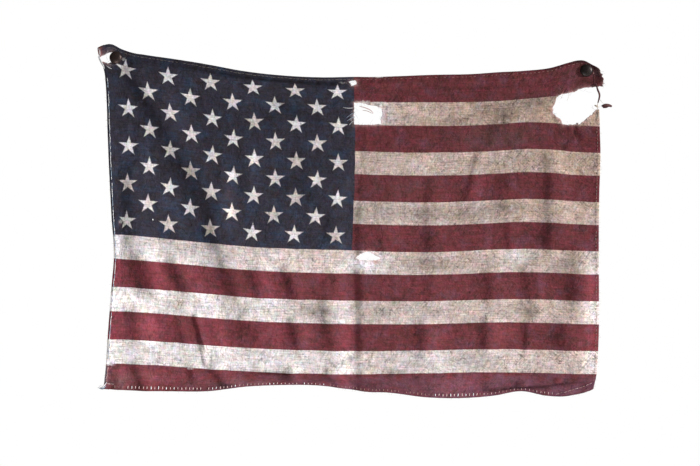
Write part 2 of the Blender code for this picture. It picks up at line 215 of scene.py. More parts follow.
# Soft ridges, or troughs where the height is negative. The near flank lies to the left of an upright
# fold and below a level one.
folds = (
    # from along, down, to along, down, near flank, far flank, height
    # drawn down from the left tack
    (17, 6, 60, 76, 8.5, 13, 2.8), (52, 60, 98, 134, 13, 13, 2.7), (96, 110, 106, 178, 10, 14, 2.5),
    (22, 96, 27, 176, 9, 15, 2.4), (150, 28, 206, 50, 6, 8, 1.2), (104, 92, 107, 146, 5, 9, 0.9),
    (128, 72, 130, 124, 6, 8, 1), (184, 70, 186, 118, 9, 10, 1),
    # flutes in the lower left, above
    (22, 160, 43, 228, 10, 13, 3.2), (57, 182, 76, 219, 6, 10, 2), (104, 158, 124, 226, 8.5, 12, 2.9),
    (139, 182, 144, 220, 8, 8, 2), (166, 180, 180, 220, 7, 10, 2.5), (204, 206, 212, 266, 6, 12, 2),
    # and below them
    (26, 228, 33, 272, 8, 12, 2.1), (64, 235, 76, 269, 3.6, 5, 1.2), (122, 230, 148, 255, 6, 8, 1.7),
    (172, 229, 182, 263, 6, 9, 2.3), (8, 285, 14, 316, 4, 6, 1.4), (26, 278, 40, 317, 4.5, 9, 2.2),
    (79, 281, 84, 303, 4, 6, 1.1), (96, 275, 124, 315, 5, 9, 2.2), (172, 276, 176, 306, 7, 7, 2.4),
    (204, 277, 222, 315, 5, 8, 2.1),
    # the slanting crease and the small ones round it
    (40, 218, 82, 236, 2.6, 6, 1.1), (79, 230, 93.6, 270, 1.7, 7, 1.7), (84, 250, 93.5, 284, 1, 4, 0.9),
    (176, 177, 199, 186, 2.4, 3.5, 0.8), (178, 216, 208, 234, 3, 5, 0.9),
    (134, 281, 180, 282, 2.6, 5, 1.3),
    # the old crease down the middle
    (228.5, 118, 230.5, 180, 13, 5, -2.2), (230, 176, 231, 228, 14, 5, -3),
    (231, 222, 231, 273, 14, 5, -2.8), (231, 268, 231.5, 335, 13, 5, -2.1),
    (231, 30, 231, 130, 10, 5, -0.8),
    # flutes in the right half, above
    (301, 92, 302, 178, 6, 12, 1.6), (346, 66, 332, 126, 3, 7, 1.5), (360, 46, 356, 72, 5, 8, 1.1),
    (374, 138, 377, 173, 5, 7, 1.5), (412, 66, 414, 182, 7, 12, 2.6), (262, 92, 264, 176, 12, 14, 1.2),
    # in the middle
    (302, 184, 303, 230, 6, 12, 1.4), (357, 182, 359, 224, 8, 12, 2.3), (389, 178, 399, 241, 5.5, 9, 2.3),
    (441, 176, 443, 224, 13, 9, 1.7),
    # and below
    (296, 226, 297, 274, 7, 10, 2), (354, 227, 355, 272, 6, 10, 2.3), (391, 231, 392, 271, 4, 6, 1.4),
    (427, 229, 428, 272, 9, 8, 2.3), (437, 146, 438, 304, 8, 12, 1.8),
    # small creases below the right tack
    (431, 46, 437.5, 66, 1.5, 3, -1.4), (434, 54, 418, 76, 1.6, 2.6, -1.3),
    # level folds in the top stripe and the middle
    (230, 15.5, 352, 13.5, 4, 7, 1.6), (238, 8, 292, 7, 3, 4, 1), (302, 4, 400, 12, 3.5, 6, 1.4),
    (336, 20, 430, 18, 4, 6, 1), (298, 228, 350, 230, 4, 6, 1), (226, 270, 278, 280.5, 2, 4, 1.2),
    (262, 268, 318, 281, 2, 4, 1.1),
    # the top hem rolls forward between the tacks
    (52, 2, 226, 2, 4, 5, 2.3), (64, 8.5, 222, 8.5, 3.5, 4.5, -1.7),
    # the hem is tucked up at the bottom
    (112, 288, 264, 288, 6, 7, 1.2), (112, 299, 264, 299, 5, 6, -1),
    # the bottom right corner turns up
    (348, 303.5, 396, 301.5, 1.9, 7, 1.9), (380, 303, 428, 291, 1.9, 8, 2.4),
    (414, 293.5, 458, 292.5, 2, 8, 1.5),
    # and its flap is folded over once more
    (424, 308, 459, 291.5, 1.6, 5, 1.5),
)


def smoothStep(share):
    share = np.clip(share, 0.0, 1.0)
    return share * share * (3.0 - 2.0 * share)


def curveThrough(at, knots, values, level=False):
    # a smooth curve through the values, which may differ from point to point
    knots, values = np.asarray(knots, float), np.asarray(values, float)
    if values.ndim == 1:
        values = np.repeat(values[:, None], len(at), axis=1)
    slopes = np.gradient(values, knots, axis=0) * (not level)
    at = np.clip(at, knots[0], knots[-1])
    left = np.clip(np.searchsorted(knots, at, side="right") - 1, 0, len(knots) - 2)
    point = np.arange(len(at))
    span = knots[left + 1] - knots[left]
    t = (at - knots[left]) / span
    low, high = values[left, point], values[left + 1, point]
    lowSlope, highSlope = slopes[left, point] * span, slopes[left + 1, point] * span
    bend = 2.0 * (low - high) + lowSlope + highSlope
    lean = 3.0 * (high - low) - 2.0 * lowSlope - highSlope
    return ((bend * t + lean) * t + lowSlope) * t + low


def frontView(along, down):
    # where points of the flat cloth are seen from the front: to the right and up
    shifts = [curveThrough(down, drawn[:, 0], shift) for shift in drawn[:, 1:].T]
    pull = np.exp(-((along / flag["cornerPullAlong"]) ** 2) - (down / flag["cornerPullDown"]) ** 2)
    right = along - flag["width"] / 2 + curveThrough(along, drawnAlong, shifts, level=True)
    lines = np.array([curveThrough(along, sections[:, 0], sections[:, 1 + n]) for n in range(6)])
    onCloth = np.clip(down, 0.0, flag["height"])
    above = np.clip(np.searchsorted(sectionLines, onCloth, side="right") - 1, 0, 4)
    share = (onCloth - sectionLines[above]) / np.diff(sectionLines)[above]
    point = np.arange(len(along))
    up = lines[above, point] * (1.0 - share) + lines[above + 1, point] * share
    return right - flag["cornerPull"] * pull, up + onCloth - down


def foldHeight(along, down, fold):
    fromAlong, fromDown, toAlong, toDown, near, far, height = fold
    run, drop = toAlong - fromAlong, toDown - fromDown
    length = math.hypot(run, drop)
    share = ((along - fromAlong) * run + (down - fromDown) * drop) / length**2
    off = ((along - fromAlong) * drop - (down - fromDown) * run) / length
    width = np.where(off < 0.0, near, far)
    ends = smoothStep(share / flag["foldFade"]) * smoothStep((1.0 - share) / flag["foldFade"])
    return height * ends * np.exp(-((off / width) ** 2))


def crumple(along, down, size, seed):
    return np.array([noise.noise((a / size, d / size, seed)) for a, d in zip(along, down)])


tackPlaces = {}
for name in ("tack_left", "tack_right"):
    low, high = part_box(name)
    tackPlaces[name] = ((low[0] + high[0]) / 2 / mm, (low[2] + high[2]) / 2 / mm)


def outFromWall(along, down):
    levels = [curveThrough(along, sections[:, 0], sections[:, 7 + n]) for n in range(3)]
    out = curveThrough(down, (0.0, cantonFoot, flag["height"]), np.array(levels))
    for fold in folds:
        out = out + foldHeight(along, down, fold)
    out = out + flag["crumple"] * crumple(along, down, flag["crumpleSize"], 3.0)
    out = out + flag["fineCrumple"] * crumple(along, down, flag["fineCrumpleSize"], 8.0)
    toEdge = np.minimum.reduce([along, flag["width"] - along, down, flag["height"] - down])
    wave = np.sin((along + down) * 2.0 * math.pi / flag["puckerLength"] + 2.0 * np.sin(along * 0.045))
    fade = np.exp(-((toEdge - flag["puckerFrom"]) / flag["puckerReach"]) ** 2)
    out = out + flag["pucker"] * wave * fade
    out = np.maximum(out, flag["leastOut"])
    right, up = frontView(along, down)
    for tackRight, tackUp in tackPlaces.values():
        away = np.hypot(right - tackRight, up - tackUp)
        loose = smoothStep((away - flag["pressedRadius"]) / flag["pressedFade"])
        out = flag["leastOut"] + (out - flag["leastOut"]) * loose
    return out


def onFlat(points, steps=60, stride=0.7):
    # the flat cloth's places of points seen from the front, found step by step
    right, up = np.asarray(points, float).T
    along, down = right + flag["width"] / 2, -up
    for _ in range(steps):
        rightNow, upNow = frontView(along, down)
        along = along + stride * (right - rightNow)
        down = down + stride * (upNow - up)
    return np.stack([along, down], axis=1)


# Outlines on the hung cloth: to the right and up, in millimetres.
tears = {
    "corner": (
        (191.8, -31.5), (196.9, -28.2), (204.3, -26.8), (209, -26.5), (213.2, -23.7), (217.4, -22.4),
        (223, -22), (231, -21.2), (246, -21.2), (246, -42.5), (231, -42.5), (228.6, -43),
        (224.9, -47.3), (219.3, -51.5), (213.7, -56), (207.1, -56.7), (197.8, -56.3), (195.9, -52),
        (192.2, -49.2), (188.5, -46.4), (188.3, -40.8), (190.3, -37.1),
    ),
    "cantonSide": (
        (3, -36.4), (10.6, -36.6), (16.8, -38.6), (24.1, -39.6), (28.6, -42), (29.4, -47.4),
        (27.6, -52), (28.4, -56.4), (17.7, -57), (3, -56.6), (2.6, -45),
    ),
    "crease": (
        (4.4, -181.6), (7.6, -178.4), (12.6, -175.8), (16.9, -175.2), (20.5, -177.6), (27.7, -181.6),
        (25, -183.3), (18.6, -183.6), (8.5, -183.4),
    ),
    "topEdge": ((-1.8, -17), (1.1, -15.6), (4.8, -15.8), (4.6, -19.4), (0.4, -20.6)),
    "tackSide": (
        (-248, 6.4), (-234, 6.6), (-228.6, 9.6), (-222.8, 11.6), (-221.6, 7), (-223.4, 2),
        (-227.4, 0.2), (-232, 2.4), (-248, 2.6),
    ),
    "leftHem": ((-226.4, -277.2), (-224.8, -276.2), (-223.6, -278), (-225, -280.2), (-226.6, -279.4)),
    "ragEnd": (
        (228.4, 2), (229.6, -2.6), (232, -4.4), (233, -6.4), (233.4, -8.6), (235.2, -9.9),
        (234.4, -11.8), (236.4, -13.2), (235.5, -15.6), (236.2, -18.2), (235, -20), (235.4, -24),
        (246, -24), (246, 2),
    ),
    "speck": ((-185.2, -144.8), (-184.4, -144.8), (-184.2, -145.9), (-185.2, -146)),
}
tearing = {
    "seed": 5,
    "step": 0.9,
    "wobble": 0.5,
    "wobbleSize": 1.7,
    "snap": 0.36,
    "refine": 4.0,
    "smallest": 6.0,  # smaller ones don't curl or thin their edges
    "felt": 14.0,
    "curl": 0.3,
    "curlWander": 0.9,
    "curlSize": 5.0,
    "curlReach": 2.5,
    "thinReach": 1.1,
}


def tornOutline(outline):
    # the outline on the flat cloth, with a ragged edge
    corners = onFlat(outline)
    points = []
    for here, there in zip(corners, np.roll(corners, -1, axis=0)):
        steps = max(1, round(math.dist(here, there) / tearing["step"]))
        for n in range(steps):
            a = here[0] + (there[0] - here[0]) * n / steps
            d = here[1] + (there[1] - here[1]) * n / steps
            shake = noise.noise_vector((a / tearing["wobbleSize"], d / tearing["wobbleSize"], 5.0))
            points.append((a + shake.x * tearing["wobble"], d + shake.y * tearing["wobble"]))
    return np.array(points)


def nearestOn(points, outline):
    # distance to a closed outline, the nearest point on it, and whether each point is inside
    start, end = outline, np.roll(outline, -1, axis=0)
    run = end - start
    rel = points[:, None, :] - start[None]
    share = np.clip((rel * run).sum(2) / np.maximum((run**2).sum(1), 1e-9), 0.0, 1.0)
    foot = start[None] + share[..., None] * run[None]
    gap = np.linalg.norm(points[:, None, :] - foot, axis=2)
    best = gap.argmin(1)
    rows = np.arange(len(points))
    y, y0, y1 = points[:, 1][:, None], start[None, :, 1], end[None, :, 1]
    crosses = (y0 > y) != (y1 > y)
    fall = np.where(y1 == y0, 1.0, y1 - y0)
    meet = start[None, :, 0] + (y - y0) / fall * run[None, :, 0]
    inside = (crosses & (points[:, 0][:, None] < meet)).sum(1) % 2 == 1
    return gap[rows, best], foot[rows, best], inside


noise.seed_set(tearing["seed"])  # the same torn edges on every run
tornOutlines = {name: tornOutline(outline) for name, outline in tears.items()}
print("tears laid out")


# Soft patches by place on the flat cloth: along, down, reach along, reach down, strength in per cent and,
# where one is turned, its angle in degrees.
wear = {
    # grey grime, and painted shade round the right tack
    "grimeAndShade": (
        (366, 37, 26, 9, 34), (335, 44, 16, 5, 20, -12), (390, 34, 18, 10, 25), (360, 61, 34, 12, 30),
        (300, 32, 30, 4, 10), (262, 108, 40, 9, 12), (352, 84, 40, 8, 14), (430, 82, 18, 8, 20),
        (442, 12, 22, 15, 12), (12, 300, 14, 10, 30), (120, 303, 40, 6, 20), (6, 218, 6, 8, 30),
    ),
    "tan": (
        (452, 30, 150, 60, 22), (240, 38, 14, 8, 40), (300, 40, 60, 8, 8), (415, 40, 26, 9, 35),
        (400, 85, 40, 9, 20), (320, 86, 60, 8, 14), (240, 180, 16, 6, 35), (330, 132, 60, 8, 10),
        (13, 159, 5, 3, 70), (98, 155, 7, 7, 60), (96, 120, 7, 6, 30), (82, 138, 6, 7, 40),
    ),
    # faded print in patches, and painted light where the cloth is brightest: the left edge, the lower
    # left and some fold ridges
    "bleachAndLight": (
        (5, 206, 10, 40, 85), (5, 270, 12, 34, 75), (42, 204, 18, 30, 45), (40, 255, 24, 24, 45),
        (90, 205, 16, 24, 45), (98, 255, 20, 24, 40), (150, 210, 20, 24, 35), (157, 250, 18, 20, 40),
        (60, 274, 60, 10, 40), (160, 274, 60, 9, 30), (221, 264, 10, 34, 40), (250, 178, 18, 10, 40),
        (318, 274, 44, 10, 30), (380, 174, 14, 8, 50), (345, 110, 8, 12, 35), (451, 225, 8, 70, 45),
        (330, 296, 20, 10, 40), (240, 38, 17, 14, 100), (240, 181, 16, 6, 95), (2, 230, 3, 90, 90),
        (213, 17, 9, 9, 43), (57, 17, 9, 9, 40), (57, 120, 9, 9, 30), (18, 51, 12, 60, 25),
    ),
    # print worn off the cloth
    "worn": (
        (11.5, 155.5, 3.4, 2.6, 100, 25), (4, 283, 5, 3.6, 95), (0.5, 298, 2, 12, 45),
        (78.5, 284.3, 4, 1.3, 95), (226.5, 42, 4, 8, 60), (219, 6.5, 6, 1.6, 75),
        (240, 26.6, 14, 1.6, 60), (251, 0.3, 13, 1.3, 80), (7, 15, 5, 4, 50), (15.1, 8, 1.3, 1.8, 100),
        (18.6, 7.6, 1.2, 1.7, 95),
    ),
    # rust from the tacks and red that has run, and painted orange shadow beside the holes
    "stainAndShadow": (
        (0, 3, 3, 6, 95), (243, 31, 9, 1.6, 50, 12), (229.5, 5.5, 2.4, 3, 80), (10, 158, 2.6, 1.8, 30),
        (257.5, 41, 1.6, 7, 50), (251.5, 179, 3, 3, 50),
    ),
}


# Painted shade in folds and creases and painted light on their ridges and on broader areas, which darken
# or lighten every colour alike.
wear["shade"] = (
    # lower left
    (26, 195, 7, 26, -25, -17), (20, 250, 5, 11, -20, -8), (63, 199, 5, 12, -20, -22),
    (104, 188, 9, 28, -20, -12), (134, 199, 6, 11, -25, -5), (170, 199, 6, 12, -24, -12),
    (196, 223, 18, 5, -18, 15), (204, 240, 8, 20, -14, -10), (122, 247, 6, 10, -25, -20),
    (173, 250, 4, 12, -22, -10), (145, 226, 60, 2.5, -12), (31, 294, 4, 12, -30, -25),
    (79, 292, 3, 8, -30, -10), (106, 298, 4, 9, -35, -30), (156, 286, 16, 3, -60),
    (160, 284.2, 20, 1, -50), (166, 292, 6, 6, -40), (220, 299, 4, 8, -15, -25), (208, 303, 6, 5, 35),
    (145, 304, 14, 3, 35), (114, 305, 9, 3.5, -50), (36, 302, 3.5, 8, -30, -20),
    (88, 251, 4.5, 7, -35, -18), (65, 241, 5, 6, 30), (38, 216, 8, 7, -28), (77, 209, 8, 8, -25),
    (139, 246, 6, 7, -20), (48, 205, 7, 24, 38, -15), (41, 248, 8, 18, 50, -8), (78, 200, 9, 22, 38, -28),
    (93, 218, 8, 14, 25, -20), (88, 248, 5, 14, 30, -18), (106, 250, 6, 18, 48, -15),
    (153, 205, 6, 14, 20), (156, 248, 6, 14, 32, -5), (186, 250, 6, 12, 20), (50, 295, 12, 10, 38),
    (72, 294, 6, 10, 20, -20), (10.5, 297, 1.7, 9, -45, -8), (120, 301, 8, 6, 30), (223, 285, 6, 20, 20),
    # upper left
    (15, 85, 22, 75, 20), (105, 22, 62, 15, 24), (207, 98, 20, 20, -14), (204, 158, 7, 5, -38),
    (89, 159, 9, 5, -28), (115, 164, 5, 7, -25), (66, 153, 6, 8, 30), (187, 119, 9, 9, -28),
    (84, 103, 8, 7, -22), (58, 31, 8, 10, 22), (36, 80, 8, 10, 18), (125, 89, 5, 9, 28),
    (36, 48, 8, 32, -14, -33), (75, 112, 10, 24, -20, -28), (92, 136, 7, 14, -24, -8),
    (15, 136, 6, 14, -25, -5), (6, 163, 6, 4, -15), (140, 6.3, 90, 2.1, -62), (206, 7.5, 20, 3, -35),
    (176, 39, 26, 5, -30, 20), (206, 143, 6, 10, -42, -10), (188, 84, 9, 8, -20), (168, 106, 16, 6, -22),
    (160, 139, 8, 9, -15), (156, 44, 12, 5, -20), (68, 54, 9, 20, 42, -30), (38, 96, 6, 14, 36, -20),
    (57, 135, 8, 16, 42, -28), (112, 122, 6, 24, 30), (133, 90, 5, 12, 25), (224, 106, 5, 8, 20),
    (223, 145, 6, 20, -15),
    # upper right
    (258, 9, 26, 5, 20), (345, 13.5, 50, 2.2, -25), (322, 44, 22, 3.6, -32, -11), (344, 32, 8, 5, -30),
    (368, 42, 7, 7, -42), (394, 31, 18, 4.5, -36), (424, 66, 2, 11, -40, 36),
    (434.5, 57, 1.8, 9, -40, -17), (368, 127, 10, 6, -32), (366, 102, 10, 10, -18),
    (407, 112, 5, 12, -30), (407, 155, 5, 14, -15), (417, 138, 7, 9, -32), (421, 156, 5, 12, -25),
    (416, 107, 5, 6, -20), (363, 57, 5, 7, -30), (292, 106, 4, 10, 25), (404, 85, 5, 10, -20),
    (275, 33, 18, 5, 20), (345, 108, 5, 10, 30), (262, 146, 12, 9, 16), (376, 110, 4, 10, 20),
    # lower right
    (303, 160, 14, 9, -20), (406, 158, 7, 10, -25), (433, 180, 16, 14, -12), (356, 202, 7, 14, -18),
    (397, 200, 4.5, 17, -45, -8), (388, 206, 4, 18, 15, -8), (398, 246, 5, 7, -25),
    (430, 203, 11, 12, -22), (289, 250, 6, 13, -18, 5), (349, 250, 4, 12, -18), (389, 250, 3, 10, -20),
    (418, 250, 7, 12, -28), (234, 288, 4, 14, 25), (236, 195, 4, 30, 15), (358, 248, 4, 8, -25),
    (428, 52, 3.5, 8, -40, 12), (115, 175, 5, 10, -25), (118, 207, 4, 12, -20), (37, 175, 7, 8, -22),
    (38, 203, 7, 9, -22), (77, 232, 8, 6, 15, 25), (336, 78, 4, 7, 30, 15), (420, 186, 6, 8, -25),
    (385, 262, 5, 7, 25), (239, 262, 6, 8, 25), (272, 216, 9, 5, -30), (272, 283, 10, 4, -30),
    (336, 236, 9, 3.5, -35), (263, 11, 5, 5, 15), (350, 10, 60, 5, 12), (150, 11, 70, 7, 12),
    (345, 85, 35, 9, -8), (330, 132, 85, 9, -12), (370, 226, 36, 9, -13), (342, 273, 18, 9, -15),
    (298, 273, 14, 9, 10), (24, 179, 20, 9, 12), (172, 179, 24, 9, 14), (300, 179, 20, 9, -15),
    (345, 179, 14, 9, -7), (24, 226, 18, 9, 10), (342, 38, 18, 9, -10), (253, 15, 20, 10, 14),
    (370, 303, 22, 1.9, -60, 2), (407, 299.5, 20, 2, -65, -15), (438, 294.5, 17, 2.1, -25, -4),
    (444, 299.5, 8, 1.8, -45, -22), (448, 304, 12, 3.5, -30, -25), (326, 297, 17, 12, 45),
    (311, 250, 7, 13, 28), (368, 246, 14, 9, 35), (450, 202, 6, 14, 35), (450, 250, 6, 14, 30),
    (392, 290, 30, 5, 20), (430, 303, 16, 4, 25, 10),
    # broad areas of painted light and shade
    (300, 132, 70, 9, -17), (298, 180, 26, 8, -25), (395, 180, 70, 8, -16), (170, 180, 40, 8, 12),
    (14, 226, 18, 8, 28), (290, 226, 60, 8, -15), (395, 226, 25, 8, -18), (298, 273, 26, 9, -22),
    (345, 273, 22, 9, -20), (430, 273, 30, 8, 10), (340, 108, 50, 9, -8), (298, 155, 16, 9, -12),
    (392, 155, 22, 9, -16), (24, 250, 32, 10, 32), (22, 295, 26, 9, 30), (208, 226, 20, 9, -15),
    (252, 226, 18, 9, -8), (322, 132, 62, 8, -10), (207, 273, 18, 9, -8), (299, 85, 16, 8, 15),
    (391, 85, 18, 8, -10), (302, 37, 16, 8, 20), (338, 36, 14, 8, 24), (18, 218, 22, 14, 10),
    (60, 295, 90, 9, 16),
    # painted shadow round the right tack, where the cloth dips, and a painted highlight beside it
    (440, 11, 24, 9, -12), (442, 13, 8, 4, 25), (449, 4, 6, 4, -50, 30), (428, 1, 32, 1.8, -60),
    (452.5, 14, 3.5, 12, -40), (442, 19, 9, 4, -30),
)


def patches(along, down, rows):
    total = np.zeros(len(along))
    for a, d, reachAlong, reachDown, strength, *turned in rows:
        turn = math.radians(sum(turned))
        c, s = math.cos(turn), math.sin(turn)
        x, y = along - a, down - d
        across, up = (x * c + y * s) / reachAlong, (y * c - x * s) / reachDown
        patch = strength / 100 * np.exp(-(across**2) - up**2)
        total = total + patch if rows is wear["shade"] else np.maximum(total, patch)
    return total


# How far a hem's layers lie behind the face: at a side, in a corner of two hems, in the middle of the top
# and bottom hem and near its ends, and the face itself in front of the cloth's middle.
hem = {"side": 0.62, "both": 0.66, "flat": 0.75, "deep": 1.3, "front": 0.5}


def hangPoints(along, down, lift, curl=0.0):
    # points of the hung cloth in metres, lifted off its middle towards the printed face
    def middle(a, d):
        right, up = frontView(a, d)
        return np.stack([right, -outFromWall(a, d), up], axis=1)

    half = 0.5
    across = middle(along + half, down) - middle(along - half, down)
    upward = middle(along, down - half) - middle(along, down + half)
    normal = np.cross(across, upward)
    normal /= np.linalg.norm(normal, axis=1)[:, None]
    return (middle(along, down) + normal * (lift + curl)[:, None]) * mm


def hemSteps(length):
    # positions across the cut cloth, each with its share of the turn to the back
    roll = flag["hemRoll"]
    turned = [(flag["hemTurn"], 1.0), (flag["hemTurn"] / 2, 1.0), (roll, 1.0), (0.0, 0.5)]
    inner = np.linspace(roll, length - roll, round(length / flag["cell"]) + 1)
    start = turned + [(at, 0.0) for at in inner]
    return start + [(length - at, share) for at, share in reversed(turned)]


def flatCloth():
    # the cut cloth on the flat, its hems turned to the back: along, up and lift
    across, downs = hemSteps(flag["width"]), hemSteps(flag["height"])
    cloth = bmesh.new()
    bmesh.ops.create_grid(cloth, x_segments=len(across) - 1, y_segments=len(downs) - 1, size=1.0)
    for corner in cloth.verts:
        along, side = across[round((corner.co.x + 1.0) / 2.0 * (len(across) - 1))]
        down, level = downs[round((1.0 - corner.co.y) / 2.0 * (len(downs) - 1))]
        toSide = min(along, flag["width"] - along)
        near = 1.0 - smoothStep((toSide - flag["hemTurn"]) / flag["hemTurn"])
        turned = hem["flat"] + (hem["deep"] - hem["flat"]) * near
        lift = level * (turned * (1.0 - side) + hem["both"] * side) + (1.0 - level) * side * hem["side"]
        corner.co = (along, -down, -lift)
    return cloth


def flatPlaces(points):
    return np.array([(point.co.x, -point.co.y) for point in points])


def halveEdges(cloth, close):
    edges = [edge for edge in cloth.edges if edge.verts[0] in close and edge.verts[1] in close]
    bmesh.ops.subdivide_edges(cloth, edges=edges, cuts=1, use_grid_fill=True)


def cornersWithin(cloth, low, high):
    return [v for v in cloth.verts if low[0] < v.co.x < high[0] and low[1] < -v.co.y < high[1]]


def tearCloth(cloth):
    # each outline gets small faces near it, the corners nearest to it moved onto it, and no cloth inside
    refine = tearing["refine"]
    for outline in tornOutlines.values():
        low, high = outline.min(0) - refine, outline.max(0) + refine
        for reach in (refine, refine / 2):
            near = cornersWithin(cloth, low, high)
            gap = nearestOn(flatPlaces(near), outline)[0]
            halveEdges(cloth, {v for v, g in zip(near, gap) if g < reach})
        near = cornersWithin(cloth, low, high)
        gap, foot = nearestOn(flatPlaces(near), outline)[:2]
        for v, g, f in zip(near, gap, foot):
            if g < tearing["snap"]:
                v.co.x, v.co.y = f[0], -f[1]
        faces = list({f for v in near for f in v.link_faces})
        middles = [face.calc_center_median() for face in faces]
        inside = nearestOn(np.array([(middle.x, -middle.y) for middle in middles]), outline)[2]
        gone = [f for f, within in zip(faces, inside) if within]
        bmesh.ops.delete(cloth, geom=gone, context="FACES")


def refineCreases(cloth):
    # smaller faces along the sharpest folds
    for fromAlong, fromDown, toAlong, toDown, near, far, height in folds:
        if near > flag["sharpFlank"]:
            continue
        points = list(cloth.verts)
        off = flatPlaces(points) - (fromAlong, fromDown)
        run = np.array([toAlong - fromAlong, toDown - fromDown])
        share = np.clip((off @ run) / (run @ run), 0.0, 1.0)
        away = np.linalg.norm(off - share[:, None] * run, axis=1)
        halveEdges(cloth, {v for v, gap in zip(points, away) if gap < flag["sharpReach"]})


def tearGap(along, down):
    # distance to the nearest tear
    gap = np.full(len(along), np.inf)
    flat = np.stack([along, down], axis=1)
    for outline in tornOutlines.values():
        if np.ptp(outline, axis=0).max() < tearing["smallest"]:
            continue
        low, high = outline.min(0) - tearing["felt"], outline.max(0) + tearing["felt"]
        near = np.flatnonzero(((flat > low) & (flat < high)).all(1))
        if len(near):
            gap[near] = np.minimum(gap[near], nearestOn(flat[near], outline)[0])
    return gap


def addObject(name, mesh, finishes):
    for finish in finishes:
        mesh.materials.append(finish)
    made = addToScene(name, mesh)
    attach(made, "root")
    return made


def makeCloth(front, back):
    cloth = flatCloth()
    refineCreases(cloth)
    tearCloth(cloth)
    loose = [v for v in cloth.verts if not v.link_faces]
    bmesh.ops.delete(cloth, geom=loose, context="VERTS")
    mesh = toMesh(cloth, "flagCloth")
    flat = np.empty(len(mesh.vertices) * 3)
    mesh.vertices.foreach_get("co", flat)
    flat = flat.reshape(-1, 3)
    along, down, lift = flat[:, 0], -flat[:, 1], flat[:, 2]
    gap = tearGap(along, down)
    wander = tearing["curlWander"] * crumple(along, down, tearing["curlSize"], 21.0)
    curl = np.exp(-gap / tearing["curlReach"]) * (tearing["curl"] + wander)
    hung = hangPoints(along, down, lift + hem["front"], curl)
    mesh.vertices.foreach_set("co", hung.ravel())
    corners = np.empty(len(mesh.loops), dtype=np.int32)
    mesh.loops.foreach_get("vertex_index", corners)
    layer = mesh.uv_layers.new(name="flat")
    layer.uv.foreach_set("vector", (np.stack([along, down], axis=1) * mm)[corners].ravel())
    worked = {name: patches(along, down, rows) for name, rows in wear.items()}
    worked["torn"] = np.exp(-gap / tearing["thinReach"])
    for name, values in worked.items():
        mesh.attributes.new(name, "FLOAT", "POINT").data.foreach_set("value", values)
    mesh.update()
    mesh.shade_smooth()
    made = addObject("flagCloth", mesh, [front, back])
    thick = made.modifiers.new("thickness", "SOLIDIFY")
    thick.thickness = flag["thickness"] * mm
    thick.offset = -1.0
    thick.material_offset = 1
    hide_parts("flag_cloth")
    return made


ink = {
    "red": (0.130, 0.0335, 0.037, 1.0),
    "crimson": (0.255, 0.046, 0.067, 1.0),
    "wine": (0.052, 0.0255, 0.025, 1.0),
    "plum": (0.150, 0.062, 0.088, 1.0),
    "white": (0.625, 0.57, 0.57, 1.0),
    "brownish": (0.50, 0.355, 0.285, 1.0),
    "grey": (0.33, 0.35, 0.28, 1.0),
    "pink": (0.72, 0.45, 0.43, 1.0),
    "navy": (0.038, 0.034, 0.049, 1.0),
    "blue": (0.034, 0.058, 0.102, 1.0),
    "soot": (0.030, 0.020, 0.019, 1.0),
    "tan": (0.36, 0.25, 0.17, 1.0),
    "stainAndShadow": (0.33, 0.10, 0.075, 1.0),
    "grimeAndShade": (0.10, 0.088, 0.080, 1.0),
    "bleached": (0.86, 0.82, 0.83, 1.0),
}
star = {
    "reach": 8.8,
    "waist": 0.382,
    "tilt": 0.12,
    "edge": 0.8,
    "pitchAlong": 39.0,
    "pitchDown": 34.4,
    "grids": ((18.0, 17.0, 5, 4), (37.5, 34.2, 4, 3)),  # first star along and down, last column and row
}


def starMask(tree, along, down, firstAlong, firstDown, lastColumn, lastRow):
    # how far a point is inside its nearest star, in millimetres, and a number for that star
    column = ((along - firstAlong) / star["pitchAlong"]).math("ROUND").clamp(0.0, lastColumn)
    row = ((down - firstDown) / star["pitchDown"]).math("ROUND").clamp(0.0, lastRow)
    x = along - firstAlong - column * star["pitchAlong"]
    y = down - firstDown - row * star["pitchDown"]
    place = tree.node("CombineXYZ", None, [column, row, firstAlong])
    chance = tree.node("TexWhiteNoise", {"noise_dimensions": "3D"}, {"Vector": place})
    turn = x.math("ARCTAN2", y * -1.0) + (chance - 0.5) * star["tilt"]
    half = math.pi / 5.0  # half the angle from point to point
    turn = turn.math("PINGPONG", half)
    far = (x * x + y * y).math("SQRT")
    waist = star["reach"] * star["waist"]
    waistX, waistY = waist * math.cos(half), waist * math.sin(half)
    side = math.hypot(waistX - star["reach"], waistY)
    inside = far * turn.math("SINE") * (waistX - star["reach"])
    inside = inside - (far * turn.math("COSINE") - star["reach"]) * waistY
    return inside / side, chance


def softEdge(inside, softness):
    return (inside / softness + 0.5).clamp()


def layered(base, layers):
    # a colour under others, each with the share of it that shows
    for name, share in layers:
        base = base.mixTo(ink[name], share)
    return base


cotton = {
    "threadPitch": 0.45,
    "weaveDepth": 0.012,
    "inkEdge": 0.7,
    "wander": 1.4,
    "wanderDown": 0.8,
    "bleed": 0.7,
    "bleedDown": 0.6,
    "roughness": 0.9,
    "specular": 0.12,
}


